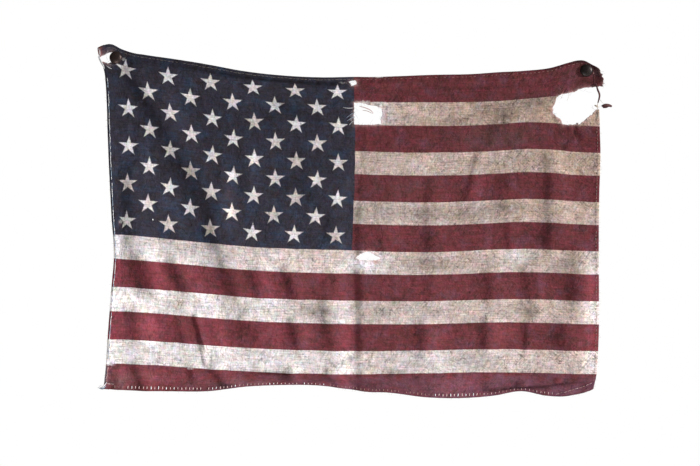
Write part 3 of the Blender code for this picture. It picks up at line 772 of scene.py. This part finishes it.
def printedCotton(name, fade):
    made, tree, shader = startMaterial(name)
    flat = tree.node("UVMap", {"uv_map": "flat"})
    scaled = tree.node("VectorMath", {"operation": "SCALE"}, {0: flat, "Scale": 1.0 / mm})
    along = tree.node("SeparateXYZ", None, [scaled])
    down = along.other(1)
    across, drop = along / flag["width"], down / flag["height"]
    torn, grimeAndShade, tan, bleachAndLight, worn, stainAndShadow, paintedShade = (
        tree.node("Attribute", {"attribute_name": word}, None, 2)
        for word in ("torn", "grimeAndShade", "tan", "bleachAndLight", "worn", "stainAndShadow", "shade")
    )
    # the print's edges wander a little, with the cloth and with the spread of the ink
    ragged = tree.noise(scaled, 0.9) - 0.5
    wander, wanderDown = tree.noise(scaled, 0.06) - 0.5, tree.noise(scaled, 0.05, 1.0) - 0.5
    printAlong = along + wander * cotton["wander"] + ragged * cotton["bleed"]
    printDown = down + wanderDown * cotton["wanderDown"] + ragged * cotton["bleedDown"]
    inStripes = printDown.clamp(flag["inkFrom"], flag["inkTo"]) - flag["topStripe"]
    fromMiddle = (inStripes / stripePair).math("FRACT") * stripePair - flag["white"] / 2
    white = softEdge(flag["white"] / 2 - fromMiddle.math("ABSOLUTE"), cotton["inkEdge"])
    canton = softEdge(flag["width"] / 2 - printAlong, cotton["inkEdge"])
    canton = canton * softEdge(cantonFoot - printDown, cotton["inkEdge"])

    def mottle(size, offset, detail=3.0, roughness=0.55):
        # cloudy patches about so many millimetres across, from about -1 to 1
        moved = tree.node("VectorMath", {"operation": "ADD"}, {0: scaled, 1: (offset, 0.0, offset)})
        return (tree.noise(moved, 1.0 / size, detail, roughness) - 0.5) * 4.0

    def streaks(alongSize, downSize, offset=0.0, turn=0.0):
        # patches drawn out along the threads, or at an angle to them
        laid = scaled
        if turn:
            inputs = {"Vector": scaled, "Angle": turn}
            laid = tree.node("VectorRotate", {"rotation_type": "Z_AXIS"}, inputs)
        inputs = [laid, (1.0 / alongSize, 1.0 / downSize, 1.0), (offset, 0.0, offset)]
        moved = tree.node("VectorMath", {"operation": "MULTIPLY_ADD"}, inputs)
        return (tree.noise(moved, 1.0, 2.0, 0.6) - 0.5) * 4.0

    def creases(size, offset):
        # thin winding lines, about a millimetre and a half wide, 1 in their middles
        moved = tree.node("VectorMath", {"operation": "ADD"}, {0: scaled, 1: (offset, offset, 0.0)})
        off = (tree.noise(moved, 1.0 / size, 1.0) - 0.5).math("ABSOLUTE")
        return (1.0 - off * (size * 4.5)).clamp()

    slub = (streaks(7.0, 0.65) + streaks(0.65, 7.0, 20.0)) * 0.6
    heavy = streaks(17.0, 2.0, 40.0) * 0.65 + streaks(2.4, 12.0, 80.0) * 0.5
    wide, patchy = mottle(34.0, 0.0), mottle(11.0, 90.0, 4.0)
    small, grain = mottle(4.2, 300.0), mottle(1.7, 700.0)
    hue, level = mottle(8.0, 500.0), streaks(12.0, 3.0, 130.0)
    crinkled = creases(16.0, 0.0) * (patchy * 0.5 + 0.5).clamp()
    crinkled = crinkled + creases(9.0, 60.0) * (hue * 0.6 + 0.35).clamp()
    raised = creases(12.0, 150.0) * (level * 0.6 + 0.4).clamp()
    wrinkled = streaks(13.0, 1.5, 500.0, 0.9) * (patchy * 0.8 + 0.5).clamp()
    wrinkled = wrinkled + streaks(11.0, 1.3, 560.0, -0.6) * (0.45 - mottle(13.0, 2300.0) * 0.8).clamp()
    wrinkled = wrinkled * (across * 0.7 + 0.2)
    # ground cloth, browner and darker towards the upper right, greyed and washed out in patches
    brownish = across * 0.75 - drop * 0.6 + (0.42 + wide * 0.12)
    ground = layered(tree.colour(ink["white"]), (
        ("brownish", brownish - bleachAndLight * 0.6),
        ("grey", (patchy * 0.4 + small * 0.15 + heavy * 0.3 - wrinkled * 0.3).clamp() * 0.8),
        ("pink", (hue * 0.6 + level * 0.35).clamp() * 0.7),
        ("bleached", (mottle(9.0, 900.0) * 0.6 - small * 0.3 - 0.1).clamp() * 0.6),
        ("tan", tan * (1.0 + small * 0.5) + mottle(7.0, 1900.0) * 0.14 - 0.05),
        ("bleached", bleachAndLight * (1.0 + small * 0.3)),
    ))
    # inks, each in more tones, worn through in specks and, where the ink is gone, in threads
    speck = (grain * 0.5 + small * 0.25 - 0.35).clamp()
    bare = worn * (1.2 + slub * 1.3 + small * 0.9) - 0.45
    hemward = ((down - 280.0) / 14.0 * (along / 300.0).clamp()).clamp() * 0.8
    hemward = hemward + (1.5 - along / 5.0).clamp() * ((down - 284.0) / 4.0).clamp()
    faded = across * 0.4 + drop * 0.1 + 0.4
    redCloth = layered(tree.colour(ink["red"]), (
        ("crimson", (0.14 + level * 0.5 - small * 0.3 + bleachAndLight).clamp() * 0.75),
        ("plum", (mottle(12.0, 2100.0) * 0.8 + hue * 0.3 + 0.05 + hemward).clamp() * faded),
        ("wine", (patchy * 0.55 + small * 0.3 + heavy * 0.3).clamp() * 0.8),
    ))
    redCloth = redCloth.mixTo(ground, speck * 0.12).mixTo(ink["bleached"], bare)
    navyCloth = layered(tree.colour(ink["navy"]), (
        ("blue", (mottle(14.0, 1500.0) * 0.6 + level * 0.35 + 0.12).clamp() * 0.85),
        ("soot", (hue * 0.7 + small * 0.4 + heavy * 0.2).clamp() * 0.85),
    ))
    navyCloth = navyCloth.mixTo(ground, speck * 0.1).mixTo(ink["bleached"], bare)
    # stars, each in its own tone, and whiter towards the top with painted light
    shownStars = toneSum = 0.0
    for grid in star["grids"]:
        inside, chance = starMask(tree, printAlong, printDown, *grid)
        shown = softEdge(inside, star["edge"])
        shownStars = shown.math("MAXIMUM", shownStars)
        toneSum = shown * chance + toneSum
    starCloth = layered(ground, (
        ("bleached", 1.15 - toneSum * 0.5 - drop * 0.8),
        ("tan", toneSum * 0.8 - 0.55 + patchy * 0.15),
        ("bleached", bleachAndLight * 1.8),
        ("navy", speck * 0.5),
    ))
    union = navyCloth.mixTo(starCloth, shownStars * 0.97).mixTo(ink["bleached"], bleachAndLight * 0.8 - 0.35)
    # grime, stains and pinker frayed edges lie over everything, with painted shade round the right tack
    # and painted orange shadow beside the holes
    cloth = layered(redCloth.mixTo(ground, white).mixTo(union, canton), (
        ("grimeAndShade", grimeAndShade * (1.0 + small * 0.3 + wide * 0.2) + patchy * 0.04),
        ("stainAndShadow", stainAndShadow * (1.0 + small * 0.6)),
        ("pink", torn * (0.5 + small * 0.4)),
    ))
    # thread tones lighten and darken it; painted shade along crease lines, painted highlights along
    # raised ones, painted light and shade along wrinkles and from the shade patches; the whites most
    shade = slub * 0.26 + streaks(15.0, 1.2, 640.0) * 0.25 + heavy * 0.16 + grain * 0.08 + small * 0.1
    shade = shade + wrinkled * 0.42 - crinkled * 0.36 + raised * 0.28
    shade = shade * (white * (1.0 - canton) * 0.53 + canton * 0.1 + 0.7) + 1.02
    # painted light and shade from the shade patches, broken up by noise
    shade = shade * (paintedShade * (1.0 + small * 0.4 + heavy * 0.35 + patchy * 0.3) + 1.0)
    warm = mottle(5.0, 2500.0) + streaks(8.0, 2.2, 200.0)
    cool = mottle(6.5, 2700.0) + streaks(2.2, 8.0, 260.0)
    tinted = [shade * (warm * 0.09 + 1.0), shade * (1.0 - warm * 0.04), shade * (cool * 0.12 + 1.0)]
    cloth = cloth.mixTo(tree.node("CombineColor", None, tinted), 1.0, "MULTIPLY")
    join(cloth.mixTo(ink["bleached"], fade), shader, "Base Color")
    join(grain * 0.05 + cotton["roughness"], shader, "Roughness")
    shader.inputs["Specular IOR Level"].default_value = cotton["specular"]
    # threadbare at the tears
    join(((1.2 - torn) * 3.0 + slub * 1.2 + grain * 0.5).clamp(), shader, "Alpha")
    # weave, slubs and small crumples
    pitch = 2.0 * math.pi / cotton["threadPitch"]
    bumpy = (along * pitch).math("SINE") * (down * pitch).math("SINE") * cotton["weaveDepth"]
    bumpy = bumpy + slub * 0.04 + mottle(5.0, 1800.0) * 0.24 + patchy * 0.28 + grain * 0.02
    bumpy = bumpy - crinkled * 0.22 + raised * 0.18 + wrinkled * 0.1
    join(tree.node("Bump", None, {"Strength": 1.0, "Distance": mm, "Height": bumpy}), shader, "Normal")
    return made


def threadMaterial(name, colour):
    made, tree, shader = startMaterial(name)
    place = tree.node("TexCoord", None, None, 3)
    tone = tree.noise(place, 260.0, 3.0)
    join(tree.colour(colour).mixTo(ink["tan"], (tone - 0.5) * 0.9), shader, "Base Color")
    join(tone * 0.1 + 0.8, shader, "Roughness")
    twist = tree.noise(place, 2600.0, 1.0)
    bump = tree.node("Bump", None, {"Strength": 0.4, "Distance": 0.1 * mm, "Height": twist})
    join(bump, shader, "Normal")
    return made


threadTones = {
    "pale": (0.80, 0.80, 0.82, 1.0),
    "dull": (0.30, 0.26, 0.24, 1.0),
    "rosy": (0.42, 0.24, 0.21, 1.0),
    "beige": (0.52, 0.42, 0.34, 1.0),
    "blush": (0.66, 0.46, 0.45, 1.0),
    "sky": (0.34, 0.42, 0.52, 1.0),
    "red": (0.085, 0.020, 0.027, 1.0),
    "navy": (0.05, 0.055, 0.085, 1.0),
}
toneNames = list(threadTones)


def smoothRoute(points, steps):
    points = np.asarray(points, float)
    at = np.linspace(0.0, len(points) - 1.0, steps)
    return np.stack([curveThrough(at, range(len(points)), axis) for axis in points.T], axis=1)


def layThreads(rows):
    # threads that lie on the cloth, as (along, down, lift, radii, tone), all hung at once
    counts = [len(row[0]) for row in rows]
    along, down, lift = (np.concatenate([row[n] for row in rows]) for n in range(3))
    points = np.split(hangPoints(along, down, lift), np.cumsum(counts)[:-1])
    return [(place, row[3], row[4]) for place, row in zip(points, rows)]


def makeThreads(name, threads):
    # threads as (points in metres, radii in millimetres, tone), joined in one mesh
    line = bpy.data.curves.new(name, "CURVE")
    line.dimensions = "3D"
    line.bevel_depth = mm
    line.bevel_resolution = 1
    line.use_fill_caps = True
    for tone in toneNames:
        line.materials.append(threadFinish[tone])
    for points, radii, tone in threads:
        spline = line.splines.new("POLY")
        spline.points.add(len(points) - 1)
        spline.material_index = toneNames.index(tone)
        spline.use_smooth = True
        for point, place, radius in zip(spline.points, points, radii):
            point.co = (*place, 1.0)
            point.radius = radius
    holder = addToScene(name, line)
    bpy.context.view_layer.update()
    mesh = bpy.data.meshes.new_from_object(holder.evaluated_get(bpy.context.evaluated_depsgraph_get()))
    bpy.data.objects.remove(holder)
    mesh.name = name
    return addObject(name, mesh, [])


# Rows of hem stitches: from along, down, to along, down, pitch, share of it that shows, radius, tones.
# A share of none is a row that crosses the hem's edge upright.
stitchRuns = (
    (1.9, 25, 1.9, 284, 2.8, 0.97, 0.31, "pale sky"),
    (1.9, 284, 1.9, 304, 3.1, 0.9, 0.26, "blush pale rosy"),
    (6, 2.7, 228, 2.7, 3.6, 0.8, 0.15, "dull"),
    (228, 2.7, 448, 2.7, 4, 0.5, 0.14, "rosy"),
    (449.6, 4, 449.8, 27, 2.4, 0.9, 0.3, "red red red rosy"),
    (454.4, 50, 454.4, 292, 3.3, 0.6, 0.2, "dull rosy"),
    (2.5, 303.6, 10, 303.8, 3.7, 0.9, 0.26, "blush"),
    (10, 305.9, 22, 305.9, 3.55, None, 0.2, "rosy"),
    (22, 305.8, 125, 305.8, 3.55, None, 0.42, "pale blush blush"),
    (125, 305.8, 153, 305.8, 3.55, None, 0.28, "rosy blush"),
    (153, 305.8, 209, 305.8, 3.55, None, 0.42, "pale blush blush"),
    (209, 305.8, 307, 305.8, 3.55, None, 0.24, "rosy"),
    (307, 305.8, 349, 305.8, 3.55, None, 0.44, "pale blush blush"),
    (349, 305.8, 420, 305.8, 3.55, None, 0.27, "rosy blush"),
    (420, 306.4, 455, 297, 3.6, 0.8, 0.2, "blush rosy"),
)
stitching = {
    "upright": 2.3,
    "shake": 0.2,
    "lean": 0.15,
    "missed": 0.03,
    "fromTear": 1.2,
    "rise": (-0.9, 0.15, 0.3, 0.15, -0.9),  # in radii: each end dives into the cloth
}


def makeStitches():
    chance = random.Random(11)
    share = np.array([0.0, 0.12, 0.5, 0.88, 1.0])
    shake = stitching["shake"]
    rows = []
    for fromAlong, fromDown, toAlong, toDown, pitch, shown, radius, tones in stitchRuns:
        length = math.hypot(toAlong - fromAlong, toDown - fromDown)
        run, drop = (toAlong - fromAlong) / length, (toDown - fromDown) / length
        for n in range(round(length / pitch)):
            start = n * pitch + chance.uniform(-shake, shake)
            side = chance.uniform(-shake, shake)
            if shown:
                at = start + shown * pitch * chance.uniform(0.85, 1.1) * share
            else:
                at = start + chance.uniform(-stitching["lean"], stitching["lean"]) * share
                side = side + stitching["upright"] * chance.uniform(0.8, 1.05) * (share - 0.5)
            lift = hem["front"] + radius * np.array(stitching["rise"])
            thick = radius * chance.uniform(0.8, 1.05)
            if chance.random() > stitching["missed"]:
                along, down = fromAlong + at * run - side * drop, fromDown + at * drop + side * run
                rows.append((along, down, lift, [thick] * 5, chance.choice(tones.split())))
    middles = np.array([(row[0].mean(), row[1].mean()) for row in rows])
    inside = np.any([nearestOn(middles, outline)[2] for outline in tornOutlines.values()], axis=0)
    held = (tearGap(*middles.T) > stitching["fromTear"]) & ~inside
    return makeThreads("hemStitches", layThreads([row for row, kept in zip(rows, held) if kept]))


def printTone(along, down):
    if along < flag["width"] / 2 and down < cantonFoot:
        return "navy"
    inStripes = min(max(down, flag["inkFrom"]), flag["inkTo"]) - flag["topStripe"]
    return "beige" if inStripes % stripePair < flag["white"] else "red"


frayTones = {"navy": "sky", "red": "rosy", "beige": "pale"}
# How many frayed ends each tear has, and how long they are.
frays = {
    "corner": (70, 2.6),
    "cantonSide": (44, 2.4),
    "crease": (34, 2.0),
    "topEdge": (12, 1.8),
    "tackSide": (20, 2.4),
    "leftHem": (14, 2.0),
    "ragEnd": (40, 1.5),
}
fraying = {"spread": 0.45, "bend": 0.6, "root": 0.6, "least": 0.6, "longest": 2.6, "pale": 0.3}


def makeFrays():
    chance = random.Random(29)
    rows = []
    for name, (count, reach) in frays.items():
        outline = tornOutlines[name]
        after = np.roll(outline, -1, axis=0)
        ahead = after - outline
        spin = np.sign(np.sum(outline[:, 0] * after[:, 1] - after[:, 0] * outline[:, 1]))
        for n in range(count):
            pick = chance.randrange(len(outline))
            start = outline[pick]
            if not (0.0 < start[0] < flag["width"] and 0.0 < start[1] < flag["height"]):
                continue
            inward = np.array([-ahead[pick][1], ahead[pick][0]]) * spin
            aim = math.atan2(inward[1], inward[0]) + chance.gauss(0.0, fraying["spread"])
            length = min(chance.expovariate(1.0 / reach) + fraying["least"], fraying["longest"] * reach)
            share = np.linspace(0.0, 1.0, 7)
            turn = aim + chance.gauss(0.0, fraying["bend"]) * share
            along = start[0] + np.cos(turn) * length * share - math.cos(aim) * fraying["root"]
            down = start[1] + np.sin(turn) * length * share - math.sin(aim) * fraying["root"]
            lift = hem["front"] + 0.1 + chance.uniform(0.2, 1.0) * share
            thick = chance.uniform(0.06, 0.11)
            tone = "pale" if chance.random() >= 1.0 - fraying["pale"] else frayTones[printTone(*start)]
            rows.append((along, down, lift, [thick] * 6 + [thick * 0.5], tone))
    right, foot = flag["width"], flag["height"]
    edges = (
        # from along and down, to along and down, and which way is off the cloth
        (0.0, 25.0, 0.0, foot, -1.0, 0.0),
        (0.0, foot, right, foot, 0.0, 1.0),
        (right, 50.0, right, foot, 1.0, 0.0),
    )
    for fromAlong, fromDown, toAlong, toDown, out, drop in edges:
        for n in range(60):
            share = chance.random()
            away = chance.uniform(0.6, 2.0) * np.linspace(0.0, 1.0, 4)
            slant = chance.gauss(0.0, 0.6)
            along = fromAlong + (toAlong - fromAlong) * share + (out + slant * drop) * away
            down = fromDown + (toDown - fromDown) * share + (drop + slant * abs(out)) * away
            rows.append((along, down, 0.3 + 0.3 * away, [0.07, 0.07, 0.06, 0.04], "beige"))
    return makeThreads("frayedEnds", layThreads(rows))


# Single strands, on the hung cloth: right, up and out from the wall, in millimetres.
strands = (
    # radius, tone, points
    (1, "red", ((228.6, -18, 3.4), (230.2, -24, 3.8), (232, -29.5, 3.9), (230.6, -36.5, 3.6))),
    (0.3, "beige", ((230.4, -35, 3.6), (230.2, -40, 3.4), (230.8, -47.6, 3.2))),
    (0.9, "beige", ((227.4, -38.6, 3.4), (229.2, -39.6, 3.9), (230.8, -40.4, 3.6))),
    (0.16, "beige", ((231.8, -31.5, 3.8), (233.4, -35, 4.2), (236.8, -38.6, 4.6))),
    (1.6, "red", ((233.8, -39.6, 4.2), (237.2, -38.7, 4.6), (240.6, -39, 4.4), (243.4, -39.8, 4))),
    (1.1, "red", ((235, -40.8, 3.6), (238.6, -40.2, 3.8), (241.8, -38.4, 3.6))),
    (0.3, "pale", ((-235.9, 14.6, 2.6), (-235.2, 10.6, 2.8), (-234.8, 6.4, 2.8))),
    (0.22, "pale", ((-234.8, 14, 2.5), (-234.4, 10, 2.9), (-235.4, 6, 2.9))),
    (0.65, "pale", ((-236.2, 7.2, 2.8), (-234.6, 3.4, 3.1), (-232.6, -0.4, 3), (-230.8, -3.6, 2.8))),
    (0.45, "pale", ((-235.2, 6.8, 3), (-233.4, 2.6, 3.4), (-231.6, -1.2, 3.2), (-230.4, -4.4, 2.6))),
    (0.3, "pale", ((-228.4, -1.6, 2.8), (-226.2, -3.4, 3.2), (-223.6, -4.8, 3))),
    (0.5, "blush", ((7.6, -39.6, 4.4), (12.6, -41, 4.9), (17.8, -43.2, 5), (20.8, -46.2, 4.6))),
    (0.3, "rosy", ((10.6, -43.4, 4.4), (15.4, -44.3, 4.8), (20.2, -46.6, 4.6))),
    (0.3, "pale", ((3.6, -41, 4.8), (-1.5, -41.6, 5.1), (-7.4, -41, 4.9))),
    (0.26, "sky", ((3.6, -45.4, 4.8), (0.2, -47, 5.1), (-4.2, -50.4, 4.9))),
    (0.3, "sky", ((3.6, -49.6, 4.8), (0.4, -50.6, 5.2), (-3.6, -53.4, 4.9))),
    (0.22, "pale", ((3.8, -52.6, 4.8), (0.8, -54.4, 5.1), (-1.6, -57.2, 4.9))),
    (0.24, "rosy", ((80.2, -23, 4.8), (83.6, -21.8, 5), (88.6, -24.6, 4.8))),
    (0.55, "pale", ((-227.4, -297, 9), (-230.6, -300.8, 9.2), (-234, -302.4, 8.6))),
    (0.5, "sky", ((-228.2, -300.4, 9), (-230.8, -302.2, 9.3), (-234.6, -302.6, 8.4))),
    (0.4, "navy", ((-228.8, -302.6, 9), (-232, -303.2, 8.8), (-235, -302, 8.2))),
    (0.24, "pale", ((-229.6, -299.2, 9.2), (-233.4, -300.2, 9.4), (-236, -302.6, 8.4))),
    (0.4, "navy", ((-227.6, -281.5, 9), (-228, -285.4, 9.4), (-227.7, -289.6, 9))),
    (0.34, "navy", ((-228.4, -290, 9), (-229, -293.6, 9.4), (-228.7, -297.6, 9))),
)


def makeStrands(steps=18, thinnest=0.55):
    threads = []
    swell = np.sin(np.linspace(0.0, math.pi, steps)) * (1.0 - thinnest) + thinnest
    for radius, tone, points in strands:
        right, up, out = smoothRoute(points, steps).T
        threads.append((np.stack([right, -out, up], axis=1) * mm, radius * swell, tone))
    return makeThreads("looseStrands", threads)


tackSizes = {
    "radius": 5.8,
    "height": 3.3,
    "rim": 0.55,
    "seat": 1.56,
    "pin": 0.6,
    "pinEnd": -9.0,
    "taper": 2.0,
    "sides": 64,
    "domeSteps": 12,
    "dent": 0.12,
    "dentsPerMetre": 330.0,
}
bronzeTones = {
    "dark": (0.050, 0.034, 0.030, 1.0),
    "brown": (0.15, 0.08, 0.06, 1.0),
    "black": (0.02, 0.018, 0.02, 1.0),
    "rightTackTone": (0.022, 0.017, 0.018, 1.0),
}


def bronze():
    made, tree, shader = startMaterial("agedBronze")
    place = tree.node("TexCoord", None, None, 3)
    cloud = tree.noise(place, 420.0, 4.0, 0.6)
    speck = tree.noise(place, 1500.0, 3.0, 0.6)
    base = tree.colour(bronzeTones["dark"]).mixTo(bronzeTones["brown"], (cloud - 0.48) * 1.8)
    base = base.mixTo(bronzeTones["black"], (speck - 0.55) * 2.5)
    # the right tack is darker and less brown
    rightOne = (tree.node("SeparateXYZ", None, [place]) * 50.0).clamp()
    base = base.mixTo(bronzeTones["rightTackTone"], rightOne * 0.7)
    join(base, shader, "Base Color")
    join(speck * 0.25 + 0.28, shader, "Roughness")
    shader.inputs["Metallic"].default_value = 0.6
    bump = tree.node("Bump", None, {"Strength": 0.5, "Distance": 0.15 * mm, "Height": cloud})
    join(bump, shader, "Normal")
    return made


def makeTack(name, finish):
    right, up = (place * mm for place in tackPlaces[name])
    size = tackSizes
    profile = []
    for n in range(size["domeSteps"] + 1):
        turn = math.pi / 2 * n / size["domeSteps"]
        out = size["seat"] + size["rim"] + (size["height"] - size["rim"]) * math.cos(turn)
        profile.append((size["radius"] * math.sin(turn), out))
    profile += [
        (size["radius"] + 0.12, size["seat"] + size["rim"] * 0.5),
        (size["radius"] - 0.1, size["seat"]),
        (size["pin"], size["seat"] + 0.4),
        (size["pin"], size["pinEnd"] + size["taper"]),
        (0.0, size["pinEnd"]),
    ]
    shape = bmesh.new()
    points = [shape.verts.new((radius * mm, -out * mm, 0.0)) for radius, out in profile]
    line = [shape.edges.new(pair) for pair in zip(points, points[1:])]
    bmesh.ops.spin(
        shape,
        geom=points + line,
        cent=(0.0, 0.0, 0.0),
        axis=(0.0, 1.0, 0.0),
        angle=2.0 * math.pi,
        steps=size["sides"],
        use_merge=True,
    )
    bmesh.ops.remove_doubles(shape, verts=shape.verts, dist=0.01 * mm)
    bmesh.ops.recalc_face_normals(shape, faces=shape.faces)
    seed = 4.0 if right > 0 else 9.0
    for point in shape.verts:
        if -point.co.y > (size["seat"] + size["rim"] * 1.2) * mm:
            dent = noise.noise(point.co * size["dentsPerMetre"] + Vector((seed, seed, seed)))
            point.co.y -= dent * size["dent"] * mm
    bmesh.ops.translate(shape, verts=shape.verts, vec=(right, 0.0, up))
    mesh = toMesh(shape, name + "_fine")
    mesh.shade_smooth()
    mesh.set_sharp_from_angle(angle=math.radians(50))
    made = addObject(name + "_fine", mesh, [finish])
    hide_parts(name)
    return made


studio = {
    "aim": (-0.001, 0.0, -0.158),
    "distance": 1.547,
    "lens": 85.0,
    "floor": -1.25,
    "floorRadius": 3.2,
    "ambient": 0.12,
    "lights": (
        # name, aim: right and up, azimuth to the right, elevation, distance, size, watts, cone in degrees
        ("key", 0.0, -0.158, 68.5, 16.0, 2.4, 0.4, 60.0, None),
        ("accent", -0.20, -0.29, 66.0, 10.0, 2.4, 0.1, 165.0, 13.0),
        ("fill", 0.0, -0.158, -18.0, -50.0, 0.95, 0.35, 3.0, None),
        ("behind", 0.0, -0.158, 140.0, 28.0, 2.2, 0.8, 34.0, None),
    ),
}


def makeStudio():
    floor = bmesh.new()
    bmesh.ops.create_circle(floor, cap_ends=True, segments=96, radius=studio["floorRadius"])
    mesh = toMesh(floor, "floor")
    ground = addToScene("floor", mesh)
    ground.location = (0.0, 0.0, studio["floor"])
    made, _, shader = startMaterial("paleFloor")
    shader.inputs["Base Color"].default_value = (0.8, 0.8, 0.8, 1.0)
    shader.inputs["Roughness"].default_value = 0.9
    mesh.materials.append(made)
    for name, right, up, azimuth, elevation, distance, size, watts, cone in studio["lights"]:
        a, e = math.radians(azimuth), math.radians(elevation)
        away = Vector((math.sin(a) * math.cos(e), -math.cos(a) * math.cos(e), math.sin(e)))
        lamp = bpy.data.lights.new(name, "SPOT" if cone else "AREA")
        lamp.energy = watts
        if cone:
            lamp.spot_size = math.radians(cone)
            lamp.spot_blend = 1.0
            lamp.shadow_soft_size = size
        else:
            lamp.shape = "DISK"
            lamp.size = size
        holder = addToScene(name, lamp)
        holder.location = Vector((right, 0.0, up)) + away * distance
        holder.rotation_euler = away.to_track_quat("Z", "Y").to_euler()
    world = bpy.data.worlds.new("studio")
    world.use_nodes = True
    tree = Wire(world.node_tree)
    seen = tree.node("LightPath")
    grey = (studio["ambient"],) * 3 + (1.0,)
    air = tree.colour(grey).mixTo((1.0, 1.0, 1.0, 1.0), seen)
    back = world.node_tree.nodes["Background"]
    world.node_tree.links.new(air.socket, back.inputs["Color"])
    bpy.context.scene.world = world
    camera = bpy.data.cameras.new("camera")
    camera.lens = studio["lens"]
    camera.sensor_width = 36.0
    camera.clip_start = 0.05
    holder = addToScene("camera", camera)
    holder.location = Vector(studio["aim"]) - Vector((0.0, studio["distance"], 0.0))
    holder.rotation_euler = (math.pi / 2, 0.0, 0.0)
    bpy.context.scene.camera = holder
    bpy.context.scene.view_settings.view_transform = "Standard"


threadFinish = {tone: threadMaterial(tone + "Thread", colour) for tone, colour in threadTones.items()}
cloth = makeCloth(printedCotton("printedCotton", 0.0), printedCotton("printedCottonBack", 0.08))
print("cloth", len(cloth.data.vertices))
stitches = makeStitches()
print("stitches", len(stitches.data.polygons))
frayed = makeFrays()
loose = makeStrands()
print("threads", len(frayed.data.polygons), len(loose.data.polygons))
bronzeFinish = bronze()
for name in tackPlaces:
    makeTack(name, bronzeFinish)
makeStudio()
